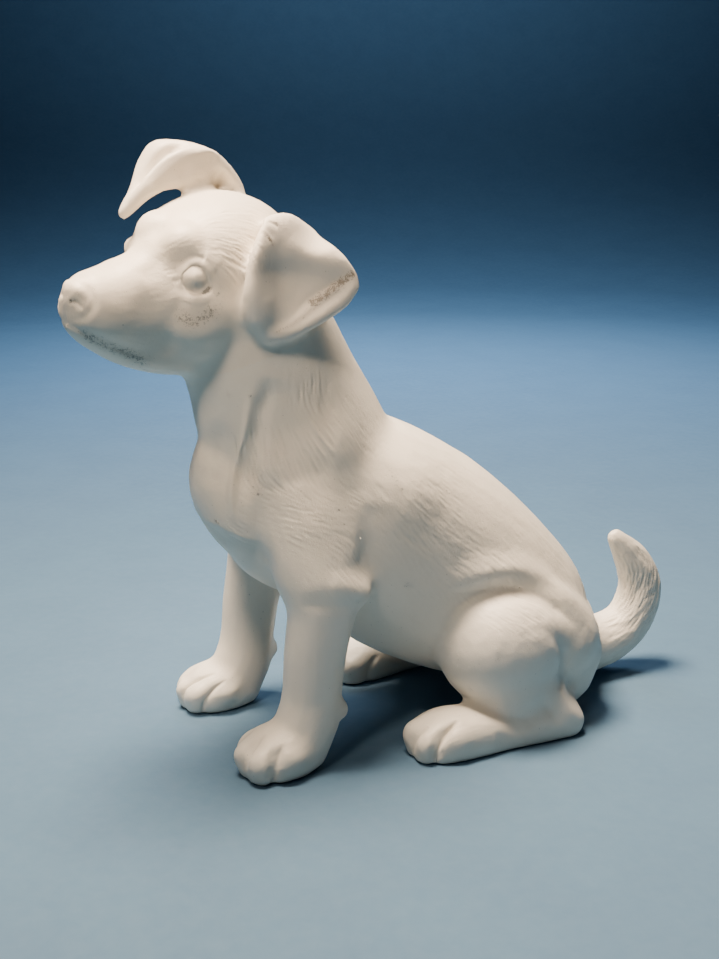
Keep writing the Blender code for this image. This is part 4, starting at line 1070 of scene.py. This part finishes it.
def nearest_casting(points):
    """Number of the casting that each point belongs to."""
    trees = []
    for node in CASTINGS:
        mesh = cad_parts[node].data
        corners = [v.co for v in mesh.vertices]
        trees.append(BVHTree.FromPolygons(corners, [tuple(p.vertices) for p in mesh.polygons]))
    owner = np.zeros(len(points), int)
    for i, point in enumerate(points):
        best = FAR_AWAY
        for number, tree in enumerate(trees):
            hit = tree.find_nearest(point, best)
            if hit[0] is not None and hit[3] < best:
                best = hit[3]
                owner[i] = number
    return owner


def face_pairs(mesh):
    """The two faces at each edge, as two rows."""
    edge_of_corner = read_values(mesh.loops, "edge_index", kind=int)
    sizes = read_values(mesh.polygons, "loop_total", kind=int)
    face_of_corner = np.repeat(np.arange(len(sizes)), sizes)
    order = np.argsort(edge_of_corner, kind="stable")
    edges, faces = edge_of_corner[order], face_of_corner[order]
    paired = np.where(edges[1:] == edges[:-1])[0]
    return faces[paired], faces[paired + 1]


def even_borders(owner, first, second):
    """Each face joins the casting that most of its neighbours belong to."""
    labels = len(CASTINGS)
    for _ in range(BORDER_ROUNDS):
        votes = np.zeros((len(owner), labels))
        for label in range(labels):
            votes[:, label] = (np.bincount(first, weights=owner[second] == label, minlength=len(owner))
                               + np.bincount(second, weights=owner[first] == label, minlength=len(owner)))
        votes[np.arange(len(owner)), owner] += OWN_VOTE
        owner = votes.argmax(1)
    return owner


def drop_islands(owner, first, second):
    """Keeps the largest patch of each casting and gives the small ones to what is round them."""
    neighbours = [[] for _ in range(len(owner))]
    same = owner[first] == owner[second]
    for a, b in zip(first[same].tolist(), second[same].tolist()):
        neighbours[a].append(b)
        neighbours[b].append(a)
    patch = np.full(len(owner), -1)
    sizes = []
    for start in range(len(owner)):
        if patch[start] >= 0:
            continue
        number = len(sizes)
        patch[start] = number
        stack, size = [start], 0
        while stack:
            face = stack.pop()
            size += 1
            for other in neighbours[face]:
                if patch[other] < 0:
                    patch[other] = number
                    stack.append(other)
        sizes.append(size)
    sizes = np.array(sizes)
    owner = owner.copy()
    for label in range(len(CASTINGS)):
        patches = np.unique(patch[owner == label])
        keep = patches[sizes[patches].argmax()]
        owner[(owner == label) & (patch != keep)] = -1
    while (owner < 0).any():
        for a, b in ((first, second), (second, first)):
            loose = (owner[a] < 0) & (owner[b] >= 0)
            owner[a[loose]] = owner[b[loose]]
    return owner


def cap_openings(bm):
    """Closes a piece inside, where it meets its neighbours, with a shallow cone on each opening."""
    rims = [edge for edge in bm.edges if edge.is_boundary]
    for edge in rims:
        edge.smooth = False
    caps = bmesh.ops.holes_fill(bm, edges=rims, sides=0)["faces"]
    bmesh.ops.poke(bm, faces=caps)
    bmesh.ops.recalc_face_normals(bm, faces=bm.faces)


def divide(puppy):
    """One piece for each casting; the pieces meet edge to edge and each is closed inside."""
    mesh = puppy.data
    first, second = face_pairs(mesh)
    owner = nearest_casting(read_values(mesh.polygons, "center", 3))
    owner = drop_islands(even_borders(owner, first, second), first, second)
    pieces = {}
    for number, node in enumerate(CASTINGS):
        bm = bmesh.new()
        bm.from_mesh(mesh)
        bm.faces.ensure_lookup_table()
        drop = [bm.faces[int(i)] for i in np.where(owner != number)[0]]
        bmesh.ops.delete(bm, geom=drop, context="FACES")
        cap_openings(bm)
        piece_mesh = bpy.data.meshes.new(node + "_carved")
        bm.to_mesh(piece_mesh)
        bm.free()
        triangles = sum(len(p.vertices) - 2 for p in piece_mesh.polygons)
        piece = new_object(node + "_carved", piece_mesh)
        if triangles > MOST_TRIANGLES:
            thin_out(piece, MOST_TRIANGLES / triangles)
        pieces[node] = piece
    bpy.data.objects.remove(puppy)
    return pieces


# Effects shared by the finishes


def new_group(name, inputs, outputs):
    """Empty shader group; inputs are kind, name and value, and outputs are kind and name."""
    tree = bpy.data.node_groups.new(name, "ShaderNodeTree")
    for kind, label, value in inputs:
        socket = tree.interface.new_socket(name=label, in_out="INPUT", socket_type=kind)
        socket.default_value = value
    for kind, label in outputs:
        tree.interface.new_socket(name=label, in_out="OUTPUT", socket_type=kind)
    return tree, tree.nodes.new("NodeGroupInput"), tree.nodes.new("NodeGroupOutput")


def set_inputs(node, **values):
    """Sets a node's inputs; an underscore stands for a space in their names."""
    for label, value in values.items():
        node.inputs[label.replace("_", " ")].default_value = value


def feed(tree, sockets, values):
    """Gives each socket its value, which is another socket, a number or a colour."""
    for socket, value in zip(sockets, values):
        if isinstance(value, bpy.types.NodeSocket):
            tree.links.new(value, socket)
        else:
            socket.default_value = value


def add_noise(tree, scale, detail, roughness=0.55):
    """Noise in Object coordinates; the scale is in waves per metre."""
    place = tree.nodes.new("ShaderNodeTexCoord")
    noise = tree.nodes.new("ShaderNodeTexNoise")
    set_inputs(noise, Scale=scale, Detail=detail, Roughness=roughness)
    tree.links.new(place.outputs["Object"], noise.inputs["Vector"])
    return noise


def add_range(tree, source, low, high, to_low=0.0, to_high=1.0):
    """Maps a value from one range to another and clamps it."""
    node = tree.nodes.new("ShaderNodeMapRange")
    set_inputs(node, From_Min=low, From_Max=high, To_Min=to_low, To_Max=to_high)
    tree.links.new(source, node.inputs["Value"])
    return node.outputs["Result"]


def add_noise_range(tree, scale, detail, low, high, to_low=0.0, to_high=1.0, roughness=0.55):
    """Noise mapped from one range to another and clamped."""
    noise = add_noise(tree, scale, detail, roughness)
    return add_range(tree, noise.outputs["Fac"], low, high, to_low, to_high)


def add_math(tree, kind, first, second):
    """Math node; each side is a socket or a number."""
    node = tree.nodes.new("ShaderNodeMath")
    node.operation = kind
    feed(tree, node.inputs, (first, second))
    return node.outputs["Value"]


def add_weighted(tree, first, first_weight, second, second_weight):
    """Sum of two values, each times its weight."""
    return add_math(tree, "ADD", add_math(tree, "MULTIPLY", first, first_weight),
                    add_math(tree, "MULTIPLY", second, second_weight))


def add_mix(tree, share, first, second):
    """Colour mix; the colours are sockets or tuples."""
    node = tree.nodes.new("ShaderNodeMix")
    node.data_type = "RGBA"
    feed(tree, (node.inputs["Factor"], node.inputs[6], node.inputs[7]), (share, first, second))
    return node.outputs[2]


def add_attribute_value(tree, name):
    node = tree.nodes.new("ShaderNodeAttribute")
    node.attribute_name = name
    return node.outputs["Fac"]


def clouding_group():
    """Slow change of tint over the surface, with a finer mottle in it."""
    tree, given, result = new_group(
        "clouding",
        (("NodeSocketColor", "Pale", (0.8, 0.8, 0.8, 1)), ("NodeSocketColor", "Deep", (0.7, 0.7, 0.7, 1))),
        (("NodeSocketColor", "Colour"),))
    broad = add_noise_range(tree, 45.0, 2.0, 0.35, 0.65)
    mottle = add_noise_range(tree, 420.0, 4.0, 0.30, 0.72)
    share = add_weighted(tree, broad, 0.65, mottle, 0.35)
    clouded = add_mix(tree, share, given.outputs["Pale"], given.outputs["Deep"])
    tree.links.new(clouded, result.inputs["Colour"])
    return tree


def soiling_and_shade_group():
    """Grime and painted shade along named lines, broken up into grains, painted shade in hollows, and a few
    specks of grime all over.
    """
    tree, given, result = new_group(
        "soiling_and_shade",
        (("NodeSocketColor", "Colour", (0.8, 0.8, 0.8, 1)),
         ("NodeSocketColor", "Soil Colour", (0.1, 0.1, 0.1, 1)), ("NodeSocketFloat", "Cuts", 0.3)),
        (("NodeSocketColor", "Colour"), ("NodeSocketFloat", "SoilAndShade")))
    soil_and_shade_here = add_attribute_value(tree, "soil_and_shade")
    hollow = add_attribute_value(tree, "hollow")
    coarse = add_noise_range(tree, 1300.0, 4.0, 0.36, 0.64, roughness=0.7)
    fine = add_noise_range(tree, 4200.0, 2.0, 0.34, 0.66, roughness=0.6)
    broken = add_weighted(tree, coarse, 0.6, fine, 0.4)
    marks = add_range(tree, add_math(tree, "ADD", soil_and_shade_here, broken), 0.92, 1.4)
    # a soft even darkening along the named lines: grime and painted shade
    soft_darkening = add_math(tree, "MULTIPLY", soil_and_shade_here, 0.28)
    # painted shade: darker in the hollows, most of all in the hair cuts and creases
    hollow_shading = add_math(tree, "MULTIPLY", add_range(tree, hollow, 0.05, 0.9), given.outputs["Cuts"])
    speck = add_noise_range(tree, 2100.0, 0.0, 0.85, 0.87, to_high=0.35)
    amount = add_math(tree, "MAXIMUM", soft_darkening, speck)
    amount = add_math(tree, "MAXIMUM", add_math(tree, "MULTIPLY", marks, 0.8), amount)
    amount = add_math(tree, "MINIMUM", add_math(tree, "ADD", amount, hollow_shading), 0.9)
    tree.links.new(add_mix(tree, amount, given.outputs["Colour"], given.outputs["Soil Colour"]),
                   result.inputs["Colour"])
    tree.links.new(amount, result.inputs["SoilAndShade"])
    return tree


def grain_group():
    """Fine grain of a moulded or matt surface, as a height, with a few pits."""
    tree, given, result = new_group(
        "grain",
        (("NodeSocketFloat", "Pits", 0.5),),
        (("NodeSocketFloat", "Height"),))
    fine = add_noise(tree, 5200.0, 2.0).outputs["Fac"]
    wavy = add_noise(tree, 1100.0, 3.0).outputs["Fac"]
    pits = add_noise_range(tree, 2600.0, 0.0, 0.79, 0.83)
    height = add_weighted(tree, fine, 0.45, wavy, 0.9)
    height = add_math(tree, "SUBTRACT", height, add_math(tree, "MULTIPLY", pits, given.outputs["Pits"]))
    tree.links.new(height, result.inputs["Height"])
    return tree


CLOUDING = clouding_group()
SOILING_AND_SHADE = soiling_and_shade_group()
GRAIN = grain_group()


# Finishes

# Pale and deep colour of each
HEAD_RESIN = ((0.86, 0.785, 0.67, 1), (0.80, 0.73, 0.625, 1))
EAR_RESIN = ((0.86, 0.785, 0.67, 1), (0.79, 0.73, 0.65, 1))
BODY_RESIN = ((0.85, 0.80, 0.71, 1), (0.79, 0.74, 0.645, 1))
LEG_RESIN = ((0.84, 0.795, 0.715, 1), (0.79, 0.745, 0.66, 1))
STEEL = ((0.66, 0.66, 0.65, 1), (0.50, 0.50, 0.50, 1))
PAPER = ((0.072, 0.150, 0.245, 1), (0.065, 0.137, 0.228, 1))


def place_group(material, group, **values):
    node = material.node_tree.nodes.new("ShaderNodeGroup")
    node.node_tree = group
    set_inputs(node, **values)
    return node


def new_finish(name, base, pits, depth, roughness_noise):
    """Material with clouded colour, roughness from noise and a grained bump; the depth is in metres."""
    material = bpy.data.materials.new(name)
    material.use_nodes = True
    tree, shader = material.node_tree, material.node_tree.nodes["Principled BSDF"]
    pale, deep = base
    clouding = place_group(material, CLOUDING, Pale=pale, Deep=deep)
    grain = place_group(material, GRAIN, Pits=pits)
    bump = tree.nodes.new("ShaderNodeBump")
    bump.inputs["Distance"].default_value = depth
    tree.links.new(grain.outputs["Height"], bump.inputs["Height"])
    tree.links.new(bump.outputs["Normal"], shader.inputs["Normal"])
    roughness = add_noise_range(tree, *roughness_noise)
    tree.links.new(clouding.outputs["Colour"], shader.inputs["Base Color"])
    tree.links.new(roughness, shader.inputs["Roughness"])
    return material, shader, clouding.outputs["Colour"], roughness


def resin_finish(name, base, soil_and_shade_colour, cuts):
    """Satin cast resin, unpainted and a little dirty, with painted shade in its creases and hollows."""
    material, shader, colour, roughness = new_finish(
        name, base, 0.6, 0.00006, (130.0, 3.0, 0.35, 0.65, 0.40, 0.52))
    tree = material.node_tree
    soiling_and_shade = place_group(material, SOILING_AND_SHADE, Soil_Colour=soil_and_shade_colour, Cuts=cuts)
    tree.links.new(colour, soiling_and_shade.inputs["Colour"])
    tree.links.new(soiling_and_shade.outputs["Colour"], shader.inputs["Base Color"])
    # rougher where the grime and the painted shade lie
    darkened_roughness = add_math(tree, "ADD", roughness, add_math(tree, "MULTIPLY", soiling_and_shade.outputs["SoilAndShade"], 0.3))
    tree.links.new(darkened_roughness, shader.inputs["Roughness"])
    set_inputs(shader, IOR=1.5, Specular_IOR_Level=0.45)
    return material


def steel_finish():
    """Drawn steel wire."""
    material, shader, _, _ = new_finish(
        "drawn steel", STEEL, 0.1, 0.00002, (1500.0, 3.0, 0.3, 0.7, 0.26, 0.42))
    set_inputs(shader, Metallic=1.0)
    return material


def floor_finish():
    """Pale blue-grey backdrop paper."""
    return new_finish("pale paper", PAPER, 0.0, 0.00003, (300.0, 3.0, 0.3, 0.7, 0.75, 0.9))[0]


# Studio

FLOOR_RADIUS = 0.75
FLOOR_SIDES = 96
SWEEP_RADIUS = 0.75
SWEEP_STEPS = 10

AIM = (0.0, 0.0, 0.05)
WARM = (1.0, 0.78, 0.57)
# Lights: name, place and aim in metres, size, power, colour and spread in degrees
LIGHTS = (
    ("overhead", (-0.05, -0.08, 0.50), AIM, 0.18, 3.5, WARM, 100.0),
    ("face", (0.15, -0.17, 0.36), (0.006, -0.042, 0.100), 0.06, 0.024, WARM, 20.0),
    ("front", (0.05, -0.70, 0.30), AIM, 0.35, 0.06, (1.0, 0.93, 0.86), 180.0),
    ("side", (0.80, -0.10, 0.22), AIM, 0.60, 0.02, (0.75, 0.88, 1.0), 180.0),
    ("backdrop", (-0.42, 0.18, 0.45), (-0.46, 0.20, 0.0), 0.30, 3.2, (0.70, 0.87, 1.0), 120.0),
    ("sweep", (-1.00, 0.45, 0.90), (-1.45, 0.62, 0.35), 0.40, 1.2, (0.62, 0.84, 1.0), 120.0),
)
WORLD_COLOUR = (0.40, 0.62, 0.92, 1.0)
WORLD_STRENGTH = 0.035
SENSOR_WIDTH = 36.0


def add_floor():
    """Round floor of backdrop paper that sweeps up at its edge."""
    bpy.ops.object.select_all(action="DESELECT")
    bpy.ops.mesh.primitive_circle_add(vertices=FLOOR_SIDES, radius=FLOOR_RADIUS, fill_type="NGON",
                                      location=(0, 0, 0))
    floor = bpy.context.active_object
    floor.name = "floor"
    bpy.ops.object.mode_set(mode="EDIT")
    bpy.ops.mesh.select_mode(type="EDGE")
    bpy.ops.mesh.select_all(action="SELECT")
    reach, height = FLOOR_RADIUS, 0.0
    for step in range(1, SWEEP_STEPS + 1):
        turn = math.pi / 2 * step / SWEEP_STEPS
        wider = FLOOR_RADIUS + SWEEP_RADIUS * math.sin(turn)
        higher = SWEEP_RADIUS * (1 - math.cos(turn))
        bpy.ops.mesh.extrude_edges_move(TRANSFORM_OT_translate={"value": (0, 0, higher - height)})
        grow = wider / reach
        bpy.ops.transform.resize(value=(grow, grow, 1), center_override=(0, 0, 0))
        reach, height = wider, higher
    bpy.ops.mesh.select_all(action="SELECT")
    bpy.ops.mesh.normals_make_consistent(inside=True)
    bpy.ops.object.mode_set(mode="OBJECT")
    bpy.ops.object.shade_smooth()
    floor.data.materials.append(floor_finish())


def aim_at(ob, place, aim):
    """Puts a light or the camera at its place, in metres, and turns it to its aim."""
    ob.location = place
    ob.rotation_euler = (Vector(aim) - Vector(place)).to_track_quat("-Z", "Y").to_euler()


def add_light(name, place, aim, size, power, colour, spread):
    data = bpy.data.lights.new(name, "AREA")
    data.size = size
    data.energy = power
    data.color = colour
    data.spread = math.radians(spread)
    aim_at(new_object(name, data), place, aim)


def add_studio():
    add_floor()
    for light in LIGHTS:
        add_light(*light)
    world = bpy.data.worlds.new("studio")
    bpy.context.scene.world = world
    world.use_nodes = True
    set_inputs(world.node_tree.nodes["Background"], Color=WORLD_COLOUR, Strength=WORLD_STRENGTH)


def add_camera():
    data = bpy.data.cameras.new("camera")
    data.lens = LENS
    data.sensor_width = SENSOR_WIDTH
    camera = new_object("camera", data)
    aim_at(camera, Vector(on_body(CAMERA_PLACE)) * MM, Vector(on_body(CAMERA_AIM)) * MM)
    bpy.context.scene.camera = camera


# Where the finishes go

# Colours of the grime, which also serve as the painted shade in creases and hollows
GREY_SOIL_AND_SHADE = (0.15, 0.155, 0.15, 1)
BROWN_SOIL_AND_SHADE = (0.115, 0.095, 0.075, 1)


def dress(pieces):
    """Gives each piece its finish and its place in the row."""
    # the last number is the strength of the painted shade in hollows
    face = resin_finish("cast resin, head", HEAD_RESIN, GREY_SOIL_AND_SHADE, 0.20)
    ears = resin_finish("cast resin, ears", EAR_RESIN, BROWN_SOIL_AND_SHADE, 0.16)
    body = resin_finish("cast resin, body", BODY_RESIN, GREY_SOIL_AND_SHADE, 0.24)
    legs = resin_finish("cast resin, legs", LEG_RESIN, GREY_SOIL_AND_SHADE, 0.16)
    finishes = {"head": face, "left_ear": ears, "right_ear": ears, "torso": body, "tail": body}
    for node, piece in pieces.items():
        select_only(piece)
        piece.data.materials.append(finishes.get(node, legs))
        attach(piece, "root")
        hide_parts(node)
    steel = steel_finish()
    for node in WIRES:
        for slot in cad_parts[node].material_slots:
            slot.material = steel


def main():
    puppy = join_castings()
    carving = Carving(puppy)
    carve_body(carving)
    carve_ears(carving)
    refine(puppy, spheres(FINE_HEAD, [on_head]) + spheres(FINE_BODY, LEG_SIDES))
    carving.read()
    carve_face(carving)
    carve_toes(carving)
    comb_hair(carving)
    hold_inside(carving)
    soil_and_shade(carving)
    select_only(puppy)
    bpy.ops.object.shade_smooth()
    dress(divide(puppy))
    add_studio()
    add_camera()


main()
